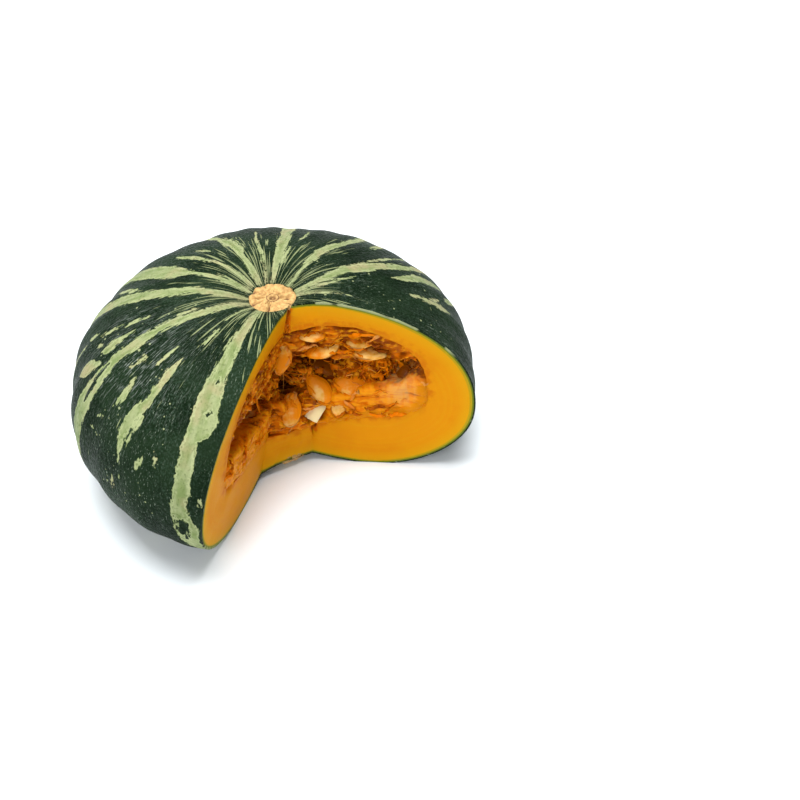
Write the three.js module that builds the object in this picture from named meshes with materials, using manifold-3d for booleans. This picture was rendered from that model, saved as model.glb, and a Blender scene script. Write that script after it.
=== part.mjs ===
// A ribbed green squash, about 190 mm across, with a wedge of just over a quarter cut out of it.
// The cut shows the thin rind, the orange flesh and the seed cavity with its pulp and seeds.
// Millimetres, Z up. The fruit's axis is Z while the pieces are made; the last lines move the
// whole part so that the origin lies on the table under the middle of its bounding box.

import * as THREE from "three";
import { mergeVertices } from "three/addons/utils/BufferGeometryUtils.js";
import Module from "manifold-3d";

const wasm = await Module();
wasm.setup();

// Outer form
const BELLY_RADIUS = 95;
const BELLY_HEIGHT = 40.6;
const CROWN_RISE = 60.7;
const BASE_DROP = 50;
const CROWN_POWER = 0.933;
const BASE_POWER = 0.906;
const STEM_DIP = 8.2;
const STEM_DIP_RADIUS = 17;
const BLOSSOM_DIP = 17.4;
const BLOSSOM_DIP_RADIUS = 39.6;
const REST_PLANE = 0.5;

// Ribs
const LOBES = 10;
const LOBE_DEPTH = 0.016;
const LOBE_PHASE = 10;

// Layers of the wall
const RIND = 1.6;
const GAP = 0.3;

// Seed cavity
const CAVITY_RADIUS = 71;
const CAVITY_HEIGHT = 51;
const CAVITY_RISE = 38;
const CAVITY_DROP = 20;
const CAVITY_ROOF_POWER = 0.8;
const CAVITY_FLOOR_POWER = 0.5;
const ROOF_SAG = 9;
const ROOF_SAG_RADIUS = 22;
const FLOOR_PIT = 10;
const FLOOR_PIT_RADIUS = 26;

// Wedge cut: two knife faces that meet a short torn face near the axis
const RIGHT_CUT_ANGLE = -3.3;
const LEFT_CUT_ANGLE = -108.4;
const CUT_TOP = 97;
const CUT_BOTTOM = 7.6;
const CORNER_TOP = [10.2, -7.5];
const CORNER_BOTTOM = [-7.2, -21.5];
const CREASE_TOP = [25, -9.05];
const CREASE_BOTTOM = [16.6, -8.56];
const CUT_REACH = 170;
const PULP_RECESS = 1.2;

// Pulp
const ROOF_PULP_HEIGHT = 67;
const FLOOR_PULP_HEIGHT = 44;
const FLOOR_PULP_PIT = 8;
const FLOOR_PULP_PIT_RADIUS = 22;
const FLOOR_PULP_RISE = 12;
const LUMP = 2.2;
const STRAND_RADIUS = 0.9;
const STRAND_LENGTH = 24;
const STRAND_AZIMUTHS = [22, 62, 98, 141, 186, 228];

// Seeds
const SEED_LENGTH = 17;
const SEED_WIDTH = 11;
const SEED_THICKNESS = 3.8;
const SEED_CLEARANCE = 0.35;

// Scars
const STEM_SCAR_RADIUS = 10.8;
const STEM_SCAR_CENTRE = [2, -1.5];
const STEM_SCAR_DEPTH = 5;
const STEM_SCAR_RISE = 2.2;
const BLOSSOM_SCAR_RADIUS = 9;
const BLOSSOM_SCAR_CENTRE = [4, -8];
const BLOSSOM_SCAR_DEPTH = 3.5;
const BLOSSOM_SCAR_DROP = 3;

// Mesh density
const SKIN_SECTORS = 64;
const SKIN_LEVELS = 16;
const CAVITY_SECTORS = 28;
const CAVITY_LEVELS = 11;
const PULP_RINGS = 9;
const SCAR_SECTORS = 24;

const MATERIALS = {
  rind: new THREE.MeshStandardMaterial({ color: 0x2f4326, roughness: 0.5, metalness: 0 }),
  flesh: new THREE.MeshStandardMaterial({ color: 0xe39a12, roughness: 0.55, metalness: 0 }),
  cork: new THREE.MeshStandardMaterial({ color: 0xd8b47a, roughness: 0.9, metalness: 0 }),
  pulp: new THREE.MeshStandardMaterial({ color: 0xbb5f0c, roughness: 0.4, metalness: 0 }),
  seed: new THREE.MeshStandardMaterial({ color: 0xd8a05a, roughness: 0.4, metalness: 0 }),
};

// Seeded random numbers, so that every build places the seeds alike

function makeRandom(seed) {
  let state = seed;
  return () => {
    state = (state * 1664525 + 1013904223) % 4294967296;
    return state / 4294967296;
  };
}

// Solids from geometry, and back

function solidOf(geometry) {
  const bare = geometry.clone();
  bare.deleteAttribute("normal");
  bare.deleteAttribute("uv");
  const merged = mergeVertices(bare, 1e-4);
  const corners = merged.index.array;
  const triVerts = [];
  for (let i = 0; i < corners.length; i += 3) {
    const [a, b, c] = [corners[i], corners[i + 1], corners[i + 2]];
    if (a !== b && b !== c && c !== a) {
      triVerts.push(a, b, c);
    }
  }
  const mesh = new wasm.Mesh({
    numProp: 3,
    vertProperties: new Float32Array(merged.attributes.position.array),
    triVerts: new Uint32Array(triVerts),
  });
  return new wasm.Manifold(mesh);
}

function geometryOf(solid) {
  const mesh = solid.getMesh();
  const geometry = new THREE.BufferGeometry();
  geometry.setAttribute("position", new THREE.BufferAttribute(mesh.vertProperties, 3));
  geometry.setIndex(new THREE.BufferAttribute(mesh.triVerts, 1));
  geometry.computeVertexNormals();
  return geometry;
}

function largestBody(solid) {
  const bodies = solid.decompose();
  return bodies.reduce((best, body) => (body.volume() > best.volume() ? body : best));
}

function unionOf(solids) {
  return solids.reduce((joined, solid) => joined.add(solid));
}

function addPiece(name, solid, material) {
  const piece = new THREE.Mesh(geometryOf(solid), MATERIALS[material].clone());
  piece.name = name;
  fruit.add(piece);
}

// A closed surface from a rule that gives the point at a share of the way up and an azimuth

function closedSurface(levels, sectors, pointAt) {
  const outline = [];
  for (let j = 0; j <= levels; j += 1) {
    outline.push(new THREE.Vector2(Math.sin((Math.PI * j) / levels), j));
  }
  outline[levels].x = 0;
  const geometry = new THREE.LatheGeometry(outline, sectors);
  for (let i = 0; i <= sectors; i += 1) {
    const azimuth = (2 * Math.PI * (i % sectors)) / sectors;
    for (let j = 0; j <= levels; j += 1) {
      const p = pointAt(j / levels, azimuth);
      geometry.attributes.position.setXYZ(i * (levels + 1) + j, p.x, p.y, p.z);
    }
  }
  return solidOf(geometry);
}

function polar(radius, azimuth, z) {
  return new THREE.Vector3(radius * Math.cos(azimuth), radius * Math.sin(azimuth), z);
}

function bump(radius, reach) {
  return Math.exp(-((radius / reach) ** 2));
}

// Outer form: a flattened round with a dip at the stem, a deeper one at the blossom end,
// shallow lobes that fade out at both ends

function skinProfile(share) {
  const turn = Math.PI * share;
  const rise = -Math.cos(turn);
  const top = rise > 0;
  const power = top ? CROWN_POWER : BASE_POWER;
  const ends = share === 0 || share === 1;
  const radius = ends ? 0 : BELLY_RADIUS * Math.sin(turn) ** power;
  if (top) {
    const z = BELLY_HEIGHT + CROWN_RISE * rise ** power - STEM_DIP * bump(radius, STEM_DIP_RADIUS);
    return { radius, z };
  }
  const drop = BASE_DROP * Math.abs(rise) ** power;
  return { radius, z: BELLY_HEIGHT - drop + BLOSSOM_DIP * bump(radius, BLOSSOM_DIP_RADIUS) };
}

function ribRelief(azimuth) {
  const wander = 0.12 * Math.sin(2 * azimuth + 0.6) + 0.07 * Math.sin(3 * azimuth + 2);
  const lobeTurn = (LOBES / 2) * (azimuth + wander - THREE.MathUtils.degToRad(LOBE_PHASE));
  const lobe = Math.sqrt(Math.sin(lobeTurn) ** 2 + 0.03) - 1;
  return LOBE_DEPTH * lobe;
}

function skinPoint(share, azimuth) {
  const { radius, z } = skinProfile(share);
  const fade = radius === 0 ? 0 : Math.sin(Math.PI * share) ** 0.7;
  const scale = 1 + fade * ribRelief(azimuth);
  return polar(radius * scale, azimuth, BELLY_HEIGHT + (z - BELLY_HEIGHT) * scale);
}

function skinNormal(share, azimuth) {
  if (share === 0 || share === 1) {
    return new THREE.Vector3(0, 0, share === 0 ? -1 : 1);
  }
  const step = 1e-4;
  const around = skinPoint(share, azimuth + step).sub(skinPoint(share, azimuth - step));
  const upward = skinPoint(share + step, azimuth).sub(skinPoint(share - step, azimuth));
  return around.cross(upward).normalize();
}

function skinSolid(inset) {
  return closedSurface(SKIN_LEVELS, SKIN_SECTORS, (share, azimuth) =>
    skinPoint(share, azimuth).addScaledVector(skinNormal(share, azimuth), -inset));
}

// Seed cavity: a rounder hollow with a flat floor, a sagging roof and a lumpy wall

function cavityPoint(share, azimuth, inset) {
  const turn = Math.PI * share;
  const rise = -Math.cos(turn);
  const power = rise > 0 ? CAVITY_ROOF_POWER : CAVITY_FLOOR_POWER;
  const height = (rise > 0 ? CAVITY_RISE : CAVITY_DROP) - inset;
  const ends = share === 0 || share === 1;
  const radius = ends ? 0 : (CAVITY_RADIUS - inset) * Math.sin(turn) ** power;
  const ripple = 0.014 * Math.sin(5 * azimuth + 4 * share) + 0.01 * Math.sin(9 * azimuth - 7 * share);
  const sag = rise > 0 ? ROOF_SAG * bump(radius, ROOF_SAG_RADIUS) : 0;
  const pit = rise > 0 ? 0 : FLOOR_PIT * bump(radius, FLOOR_PIT_RADIUS);
  const z = CAVITY_HEIGHT + height * Math.sign(rise) * Math.abs(rise) ** power - sag - pit;
  return polar(radius * (1 + ripple), azimuth, z);
}

function cavitySolid(inset) {
  return closedSurface(CAVITY_LEVELS, CAVITY_SECTORS, (share, azimuth) =>
    cavityPoint(share, azimuth, inset));
}

// Wedge cut: a twisted prism whose section at each height is corner, left face, right face, crease

function along(from, angle, distance) {
  const turn = THREE.MathUtils.degToRad(angle);
  return [from[0] + distance * Math.cos(turn), from[1] + distance * Math.sin(turn)];
}

function mix(low, high, z) {
  const share = (z - CUT_BOTTOM) / (CUT_TOP - CUT_BOTTOM);
  return [low[0] + (high[0] - low[0]) * share, low[1] + (high[1] - low[1]) * share];
}

function wedgeSection(z, recess) {
  const corner = mix(CORNER_BOTTOM, CORNER_TOP, z);
  const crease = mix(CREASE_BOTTOM, CREASE_TOP, z);
  const nearCorner = [corner[0] - recess, corner[1] + recess];
  const nearCrease = [crease[0], crease[1] + recess];
  const leftEnd = along(nearCorner, LEFT_CUT_ANGLE, CUT_REACH);
  const rightEnd = along(nearCrease, RIGHT_CUT_ANGLE, CUT_REACH);
  return [nearCorner, leftEnd, [CUT_REACH, -CUT_REACH], rightEnd, nearCrease];
}

function wedgeSolid(recess) {
  const levels = [-20, 10, 30, 50, 70, 90, 120];
  const sides = 5;
  const column = new THREE.CylinderGeometry(1, 1, 1, sides, levels.length - 1);
  const ring = new THREE.Vector3();
  const position = column.attributes.position;
  for (let i = 0; i < position.count; i += 1) {
    ring.fromBufferAttribute(position, i);
    const level = Math.round((ring.y + 0.5) * (levels.length - 1));
    const section = wedgeSection(levels[level], recess);
    const onAxis = Math.hypot(ring.x, ring.z) < 0.5;
    const turn = Math.atan2(ring.x, ring.z) / (2 * Math.PI);
    const side = Math.round(((turn + 1) % 1) * sides) % sides;
    const [x, y] = onAxis ? [CUT_REACH / 3, -CUT_REACH / 3] : section[side];
    position.setXYZ(i, x, y, levels[level]);
  }
  return solidOf(column);
}

// Pulp: the stringy lining left on the roof and floor of the cavity, with a lumpy inner side

function lumps(x, y) {
  const coarse = Math.sin(x / 7 + 1) * Math.cos(y / 8 + 2);
  const fine = Math.sin(x / 3.6 - y / 5 + 0.4);
  return LUMP * (coarse + 0.45 * fine);
}

function floorPulpHeight(radius) {
  const pit = FLOOR_PULP_PIT * bump(radius, FLOOR_PULP_PIT_RADIUS);
  return FLOOR_PULP_HEIGHT - pit + FLOOR_PULP_RISE * (radius / CAVITY_RADIUS) ** 4;
}

function pulpSlab(heightAt, backing) {
  const reach = CAVITY_RADIUS + 9;
  const upward = backing > CAVITY_HEIGHT;
  return closedSurface(PULP_RINGS + 2, CAVITY_SECTORS, (share, azimuth) => {
    const step = Math.round(share * (PULP_RINGS + 2));
    const ring = upward ? step : PULP_RINGS + 2 - step;
    if (ring > PULP_RINGS) {
      return polar(ring === PULP_RINGS + 1 ? reach : 0, azimuth, backing);
    }
    const p = polar((reach * ring) / PULP_RINGS, azimuth, 0);
    p.z = heightAt(Math.hypot(p.x, p.y)) + lumps(p.x, p.y);
    return p;
  });
}

function strand(azimuth, random) {
  const turn = THREE.MathUtils.degToRad(azimuth);
  const radius = 34 + 20 * random();
  const top = polar(radius, turn, ROOF_PULP_HEIGHT + 6);
  const sway = new THREE.Vector3(8 * random() - 4, 8 * random() - 4, 0);
  const middle = top.clone().add(sway).setZ(top.z - STRAND_LENGTH * 0.5);
  const end = top.clone().addScaledVector(sway, 1.6).setZ(top.z - STRAND_LENGTH * 0.75);
  const path = new THREE.CatmullRomCurve3([top, middle, end]);
  const outline = new THREE.Shape().absarc(0, 0, STRAND_RADIUS, 0, 2 * Math.PI, false);
  const options = { steps: 6, curveSegments: 3, bevelEnabled: false, extrudePath: path };
  return solidOf(new THREE.ExtrudeGeometry(outline, options));
}

// Seeds: flat, pointed lenses. Each one is given by its middle, the way its point lies and
// the way its flat side faces

function seedSolid({ at, point, face, size = 1, sides = 8, rings = 5 }, clearance = 0) {
  const sphere = new THREE.SphereGeometry(1, sides, rings);
  const position = sphere.attributes.position;
  const p = new THREE.Vector3();
  const grown = 2 * clearance;
  for (let i = 0; i < position.count; i += 1) {
    p.fromBufferAttribute(position, i);
    const taper = p.y > 0 ? 1 - 0.42 * p.y : 1;
    p.x *= (0.5 * (SEED_WIDTH * size + grown)) * taper;
    p.z *= 0.5 * (SEED_THICKNESS * size + grown);
    p.y *= 0.5 * (SEED_LENGTH * size + grown);
    position.setXYZ(i, p.x, p.y, p.z);
  }
  const long = new THREE.Vector3(...point).normalize();
  const wide = long.clone().cross(new THREE.Vector3(...face)).normalize();
  const flat = wide.clone().cross(long);
  const frame = new THREE.Matrix4().makeBasis(wide, long, flat).setPosition(...at);
  return solidOf(sphere.applyMatrix4(frame));
}

// Seeds at the cut, where the knife left them
const CUT_SEEDS = {
  seed_roof_long: { at: [24, -6, 69.8], point: [-0.92, -0.25, -0.3], face: [0.25, -0.25, 0.95] },
  seed_roof_upper: { at: [41.5, -4, 73.4], point: [0.97, -0.1, 0.1], face: [0, -0.2, 0.98] },
  seed_roof_edge: { at: [45, -6.5, 67.3], point: [0.98, -0.05, -0.08], face: [0.05, 0.1, 0.99] },
  seed_roof_tip: { at: [20, -6, 78.5], point: [-0.97, -0.2, -0.1], face: [0, -0.35, 0.94], size: 0.85 },
  seed_hanging: { at: [5, -11, 68], point: [-0.15, -0.45, -0.88], face: [0.2, -0.88, 0.42], size: 0.9 },
  seed_heap_left: { at: [21, -4.5, 43.7], point: [-0.6, 0.5, 0.6], face: [-0.1, -0.76, 0.64] },
  seed_heap_right: { at: [36, -4.5, 45.8], point: [-0.98, 0.1, 0.15], face: [0.05, -0.8, 0.6] },
  seed_heap_low: { at: [31, -6.5, 36], point: [0.3, 0.6, 0.74], face: [0.3, -0.75, 0.6], size: 0.8 },
  seed_heap_back: { at: [25, 5, 50], point: [-0.95, -0.1, 0.2], face: [0.1, -0.3, 0.95] },
  seed_ledge_left: { at: [7.5, -11, 36], point: [0.1, 0.64, 0.76], face: [-0.15, -0.76, 0.64] },
  seed_ledge_cut: { at: [19, -8.5, 31.5], point: [0.75, 0.2, 0.5], face: [-0.1, -0.8, 0.6], size: 0.85 },
  seed_wall_right: { at: [61, -4.5, 48], point: [0.2, 0.5, 0.84], face: [-0.35, -0.8, 0.5] },
  seed_left_upper: { at: [-9, -13, 53], point: [0.15, 0.6, 0.78], face: [0.75, -0.6, 0.25] },
  seed_left_lower: { at: [-13, -21, 41], point: [-0.8, -0.3, 0.3], face: [0.5, -0.5, 0.7], size: 0.9 },
};

// Seeds further in: a small overlapping fan at each step round the cavity
const FAN_COUNT = 6;
const FAN_START = 28;
const FAN_STEP = 38;
const FAN_RADIUS = 50;
const SEEDS_PER_FAN = 3;
const FAN_SPREAD = 6.5;

function seedFan(index, z, lift, random) {
  const azimuth = THREE.MathUtils.degToRad(FAN_START + FAN_STEP * index);
  const seeds = [];
  for (let k = 0; k < SEEDS_PER_FAN; k += 1) {
    const offset = (k - 1) * FAN_SPREAD;
    const lean = 0.5 * (random() - 0.5);
    const at = polar(FAN_RADIUS, azimuth + offset / FAN_RADIUS, z + 0.8 * k);
    const point = polar(1, azimuth + Math.PI + lean, lift);
    const face = polar(0.35, azimuth + 1.5 * (random() - 0.5), 0.9);
    seeds.push({ at: at.toArray(), point: point.toArray(), face: face.toArray(), sides: 6, rings: 4 });
  }
  return seeds;
}

function seedBunches() {
  const random = makeRandom(7);
  const bunches = {};
  for (const [name, seed] of Object.entries(CUT_SEEDS)) {
    bunches[name] = [seed];
  }
  for (let i = 0; i < FAN_COUNT; i += 1) {
    bunches[`seeds_floor_${i + 1}`] = seedFan(i, 47, 0.25, random);
    bunches[`seeds_roof_${i + 1}`] = seedFan(i + 0.4, 67, -0.2, random);
  }
  return bunches;
}

// Scars: a corky disc with a pith ring where the stalk broke off, and a button at the blossom end

function turned(outline, centre) {
  const points = outline.map(([radius, z]) => new THREE.Vector2(radius, z));
  const geometry = new THREE.LatheGeometry(points, SCAR_SECTORS);
  geometry.rotateX(Math.PI / 2);
  geometry.translate(centre[0], centre[1], 0);
  return solidOf(geometry);
}

function stemScarOutline(grow) {
  const radius = STEM_SCAR_RADIUS + grow;
  const top = skinProfile(1).z;
  const bottom = top - STEM_SCAR_DEPTH - grow;
  const crown = top + STEM_SCAR_RISE;
  if (grow > 0) {
    return [[0, bottom], [radius - 2, bottom], [radius, top - 1], [radius, top + 9], [0, top + 9]];
  }
  return [
    [0, bottom], [radius - 2, bottom], [radius, top - 1], [radius - 0.4, crown],
    [radius - 2, crown + 0.7], [radius * 0.55, crown + 0.2], [radius * 0.32, crown + 0.6],
    [radius * 0.2, crown + 0.9], [radius * 0.1, crown], [0, crown - 0.5],
  ];
}

function blossomScarOutline(grow) {
  const radius = BLOSSOM_SCAR_RADIUS + grow;
  const under = skinProfile(0).z;
  const top = under + BLOSSOM_SCAR_DEPTH + grow;
  const low = under - BLOSSOM_SCAR_DROP - (grow > 0 ? 8 : 0);
  return [
    [0, low], [radius * 0.6, low], [radius - 1, low + 0.7], [radius, under + 1], [radius - 1.5, top],
    [0, top],
  ];
}

// Assembly

const fruit = new THREE.Group();
fruit.name = "fruit";

const wedge = wedgeSolid(0);
const cavity = cavitySolid(0);
const belowTable = solidOf(new THREE.BoxGeometry(400, 400, 40).translate(0, 0, REST_PLANE - 20));
const stemHole = turned(stemScarOutline(GAP), STEM_SCAR_CENTRE);
const blossomHole = turned(blossomScarOutline(GAP), BLOSSOM_SCAR_CENTRE);

const rind = skinSolid(0).subtract(skinSolid(RIND)).subtract(belowTable);
const flesh = skinSolid(RIND + GAP).subtract(cavity);
const cutAway = unionOf([wedge, stemHole, blossomHole]);
addPiece("rind", largestBody(rind.subtract(cutAway)), "rind");
addPiece("flesh", largestBody(flesh.subtract(cutAway)), "flesh");
const stemScar = turned(stemScarOutline(0), STEM_SCAR_CENTRE);
const blossomScar = turned(blossomScarOutline(0), BLOSSOM_SCAR_CENTRE);
addPiece("stem_scar", largestBody(stemScar.subtract(wedge)), "cork");
addPiece("blossom_scar", largestBody(blossomScar.subtract(wedge)), "cork");

const bunches = Object.entries(seedBunches());
const allSeeds = bunches.flatMap(([, seeds]) => seeds);
const seedRoom = unionOf(allSeeds.map((seed) => seedSolid(seed, SEED_CLEARANCE)));
const lining = cavitySolid(GAP).subtract(wedgeSolid(PULP_RECESS));
const random = makeRandom(3);
const strands = unionOf(STRAND_AZIMUTHS.map((azimuth) => strand(azimuth, random)));
const roofSlab = pulpSlab(() => ROOF_PULP_HEIGHT, 120).add(strands);
const floorSlab = pulpSlab(floorPulpHeight, -20);
addPiece("pulp_roof", largestBody(lining.intersect(roofSlab).subtract(seedRoom)), "pulp");
addPiece("pulp_floor", largestBody(lining.intersect(floorSlab).subtract(seedRoom)), "pulp");

for (const [name, seeds] of bunches) {
  addPiece(name, unionOf(seeds.map((seed) => seedSolid(seed))), "seed");
}

const bounds = new THREE.Box3().setFromObject(fruit);
const middle = bounds.getCenter(new THREE.Vector3());
fruit.position.set(-middle.x, -middle.y, -bounds.min.z);

const cutSquash = new THREE.Group();
cutSquash.name = "cut_squash";
cutSquash.add(fruit);

export default cutSquash;
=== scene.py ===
from math import cos, pi, radians, sin

import bpy
import numpy as np
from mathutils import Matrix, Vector, noise
from mathutils.bvhtree import BVHTree


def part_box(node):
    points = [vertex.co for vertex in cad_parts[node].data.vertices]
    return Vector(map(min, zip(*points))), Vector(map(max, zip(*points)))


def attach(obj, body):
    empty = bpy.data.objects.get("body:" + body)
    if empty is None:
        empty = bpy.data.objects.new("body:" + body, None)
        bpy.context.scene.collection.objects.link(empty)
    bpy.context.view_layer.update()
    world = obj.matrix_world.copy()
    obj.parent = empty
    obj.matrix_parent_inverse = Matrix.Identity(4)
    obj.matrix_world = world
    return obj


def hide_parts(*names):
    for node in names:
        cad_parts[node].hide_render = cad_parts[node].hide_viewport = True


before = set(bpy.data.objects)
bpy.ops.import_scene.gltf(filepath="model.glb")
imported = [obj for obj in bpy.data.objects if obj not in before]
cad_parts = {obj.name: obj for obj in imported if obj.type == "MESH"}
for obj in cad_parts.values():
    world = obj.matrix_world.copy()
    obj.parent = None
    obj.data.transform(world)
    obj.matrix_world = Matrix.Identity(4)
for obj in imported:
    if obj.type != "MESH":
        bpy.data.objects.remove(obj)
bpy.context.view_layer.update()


# Camera, table and light
# A white studio table under a broad soft light from above and a weaker one in front, seen from
# the front at about 42 degrees down. The fruit's axis is found from its stem scar beside it.

MM = 0.001
SCAR_OFFSET = Vector((2.0, -1.5, 0.0)) * MM
REST_FLAT = 0.5 * MM
EYE = Vector((59.3, -498.7, 483.9)) * MM
EYE_TILT = 42.16
EYE_LENS = 62.9
EYE_SENSOR = 36.0
EYE_NEAR = 0.01
TABLE_SIZE = 8.0
TABLE_LOW = (0.82, 0.87, 0.90)
TABLE_HIGH = (0.84, 0.89, 0.92)
SKY_LEFT = 0.46
SKY_RIGHT = 0.21

scar_low, scar_high = (Vector(corner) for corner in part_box("stem_scar"))
AXIS = (scar_low + scar_high) / 2 - SCAR_OFFSET
AXIS.z = -REST_FLAT

bpy.ops.object.select_all(action="DESELECT")
bpy.ops.object.camera_add(location=AXIS + EYE, rotation=(radians(90 - EYE_TILT), 0, 0))
camera = bpy.context.object
camera.data.lens = EYE_LENS
camera.data.sensor_width = EYE_SENSOR
camera.data.clip_start = EYE_NEAR
bpy.context.scene.camera = camera
bpy.context.scene.view_settings.view_transform = "Standard"


def put(tree, kind, inputs=None, **settings):
    """Adds a node to a shader tree, with its settings and its input values or links."""
    node = tree.nodes.new(kind)
    for key, value in settings.items():
        setattr(node, key, value)
    for key, value in (inputs or {}).items():
        if isinstance(value, bpy.types.NodeSocket):
            tree.links.new(value, node.inputs[key])
        else:
            node.inputs[key].default_value = value
    return node


def new_finish(name, roughness):
    """A new material and its surface shader."""
    finish = bpy.data.materials.new(name)
    finish.use_nodes = True
    shader = finish.node_tree.nodes["Principled BSDF"]
    shader.inputs["Roughness"].default_value = roughness
    return finish, finish.node_tree, shader


def mixed(tree, share, a, b):
    """A colour between two colours."""
    colours = [c if isinstance(c, bpy.types.NodeSocket) else (*c, 1.0) for c in (a, b)]
    inputs = {0: share, 6: colours[0], 7: colours[1]}
    return put(tree, "ShaderNodeMix", inputs, data_type="RGBA").outputs[2]


table_finish, tree, shader = new_finish("white_table", 0.6)
table_grain = put(tree, "ShaderNodeTexNoise", {"Scale": 40.0, "Detail": 2.0}).outputs["Fac"]
tree.links.new(mixed(tree, table_grain, TABLE_LOW, TABLE_HIGH), shader.inputs["Base Color"])
shader.inputs["Specular IOR Level"].default_value = 0.1

bpy.ops.mesh.primitive_plane_add(size=TABLE_SIZE, location=(0, 0, 0))
table = bpy.context.object
table.name = "table"
table.data.materials.append(table_finish)

world = bpy.data.worlds.new("studio")
bpy.context.scene.world = world
world.use_nodes = True
tree = world.node_tree
backdrop = tree.nodes["Background"]
backdrop.inputs["Color"].default_value = (1.0, 1.0, 1.0, 1.0)
sky = put(tree, "ShaderNodeTexCoord").outputs["Generated"]
sky_x = put(tree, "ShaderNodeSeparateXYZ", {0: sky}).outputs["X"]
sky_range = {"Value": sky_x, "From Min": -1.0, "To Min": SKY_LEFT, "To Max": SKY_RIGHT}
sky_light = put(tree, "ShaderNodeMapRange", sky_range).outputs["Result"]
tree.links.new(sky_light, backdrop.inputs["Strength"])


def soft_light(name, place, aim, size, watts):
    """A square soft box that points at a spot, all in metres."""
    turn = (Vector(aim) - Vector(place)).to_track_quat("-Z", "Y").to_euler()
    bpy.ops.object.light_add(type="AREA", location=place, rotation=turn)
    light = bpy.context.object
    light.name = name
    light.data.size = size
    light.data.energy = watts


soft_light("top_box", (-0.07, 0.09, 1.3), (0, 0, 0), 1.0, 32.0)
soft_light("front_box", (-0.45, -1.05, 0.75), (0, 0, 0.05), 0.7, 8.6)


# Flesh
# The thick orange wall of the fruit, one grown piece, hollow inside. A knife made the two flat
# faces; near the axis the flesh tore, which leaves a short uneven face between them.

BELLY_RADIUS = 95.0
BELLY_HEIGHT = 40.6
CROWN_RISE = 60.7
BASE_DROP = 50.0
CROWN_POWER = 0.933
BASE_POWER = 0.906
STEM_DIP = (8.2, 17.0)
BLOSSOM_DIP = (17.4, 39.6)
LOBES = 10
LOBE_DEPTH = 0.016
LOBE_PHASE = 10.0
FINE_RIBS = 31
FINE_RIB_DEPTH = 0.0035
RIB_LIFT = 0.009
SWELLS = ((40.0, 0.022), (222.0, 0.012))
RIND = 1.6

CAVITY_RADIUS = 71.0
CAVITY_HEIGHT = 51.0
CAVITY_ROOF = (38.0, 0.8, 9.0, 22.0)
CAVITY_FLOOR = (20.0, 0.5, 10.0, 26.0)

LEFT_CUT = -108.4
RIGHT_CUT = -3.3
CUT_HEIGHTS = (7.6, 97.0)
CORNER = (np.array([-7.2, -21.5]), np.array([10.2, -7.5]))
CREASE = (np.array([16.6, -8.56]), np.array([25.0, -9.05]))


def polar(radius, azimuth, z):
    """Points in millimetres about the fruit's axis."""
    return np.stack([radius * np.cos(azimuth), radius * np.sin(azimuth), z], axis=-1)


def skin_profile(share):
    """Radius and height of the smooth skin at a share of the way from blossom end to stem."""
    rise = -np.cos(np.pi * share)
    top = rise > 0
    power = np.where(top, CROWN_POWER, BASE_POWER)
    radius = BELLY_RADIUS * np.clip(np.sin(np.pi * share), 0, 1) ** power
    height = np.where(top, CROWN_RISE, BASE_DROP) * np.sign(rise) * np.abs(rise) ** power
    stem = np.where(top, STEM_DIP[0] * np.exp(-(radius / STEM_DIP[1]) ** 2), 0)
    blossom = np.where(top, 0, BLOSSOM_DIP[0] * np.exp(-(radius / BLOSSOM_DIP[1]) ** 2))
    return radius, BELLY_HEIGHT + height - stem + blossom


def rib_relief(azimuth):
    """Shallow lobes and finer ribs, as a share of the distance from the fruit's middle."""
    wander = 0.12 * np.sin(2 * azimuth + 0.6) + 0.07 * np.sin(3 * azimuth + 2)
    lobe = np.sqrt(np.sin(LOBES / 2 * (azimuth + wander - radians(LOBE_PHASE))) ** 2 + 0.03) - 1
    fine = np.cos(FINE_RIBS * azimuth + 1.5 * np.sin(4 * azimuth))
    swell = sum(depth * np.cos((azimuth - radians(at)) / 2) ** 60 for at, depth in SWELLS)
    return LOBE_DEPTH * lobe + FINE_RIB_DEPTH * fine + swell + RIB_LIFT


def skin_points(share, azimuth):
    """Points of the ribbed skin."""
    radius, z = skin_profile(share)
    scale = 1 + np.clip(np.sin(np.pi * share), 0, 1) ** 0.7 * rib_relief(azimuth)
    return polar(radius * scale, azimuth, BELLY_HEIGHT + (z - BELLY_HEIGHT) * scale)


def under_rind(share, azimuth):
    """Points of the flesh's outside, one rind's thickness inside the ribbed skin."""
    step = 1e-3
    middle = np.clip(share, 2 * step, 1 - 2 * step)
    around = skin_points(middle, azimuth + step) - skin_points(middle, azimuth - step)
    upward = skin_points(middle + step, azimuth) - skin_points(middle - step, azimuth)
    outward = np.cross(around, upward)
    outward /= np.linalg.norm(outward, axis=1, keepdims=True)
    return skin_points(share, azimuth) - RIND * outward


def cavity_points(share, azimuth):
    """Points of the seed cavity's wall."""
    rise = -np.cos(np.pi * share)
    top = rise > 0
    reach, power, dip, dip_radius = (np.where(top, a, b) for a, b in zip(CAVITY_ROOF, CAVITY_FLOOR))
    radius = CAVITY_RADIUS * np.clip(np.sin(np.pi * share), 0, 1) ** power
    ripple = 0.014 * np.sin(5 * azimuth + 4 * share) + 0.01 * np.sin(9 * azimuth - 7 * share)
    z = CAVITY_HEIGHT + reach * np.sign(rise) * np.abs(rise) ** power
    z -= dip * np.exp(-(radius / dip_radius) ** 2)
    return polar(radius * (1 + ripple), azimuth, z)


def raw_points(piece, what="co"):
    """A mesh's own places or normals, one row for each vertex."""
    flat = np.empty(len(piece.data.vertices) * 3)
    piece.data.vertices.foreach_get(what, flat)
    return flat.reshape(-1, 3)


def vertex_array(piece):
    """A piece's vertices in millimetres about the fruit's axis."""
    return (raw_points(piece) - np.array(AXIS)) / MM


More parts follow.
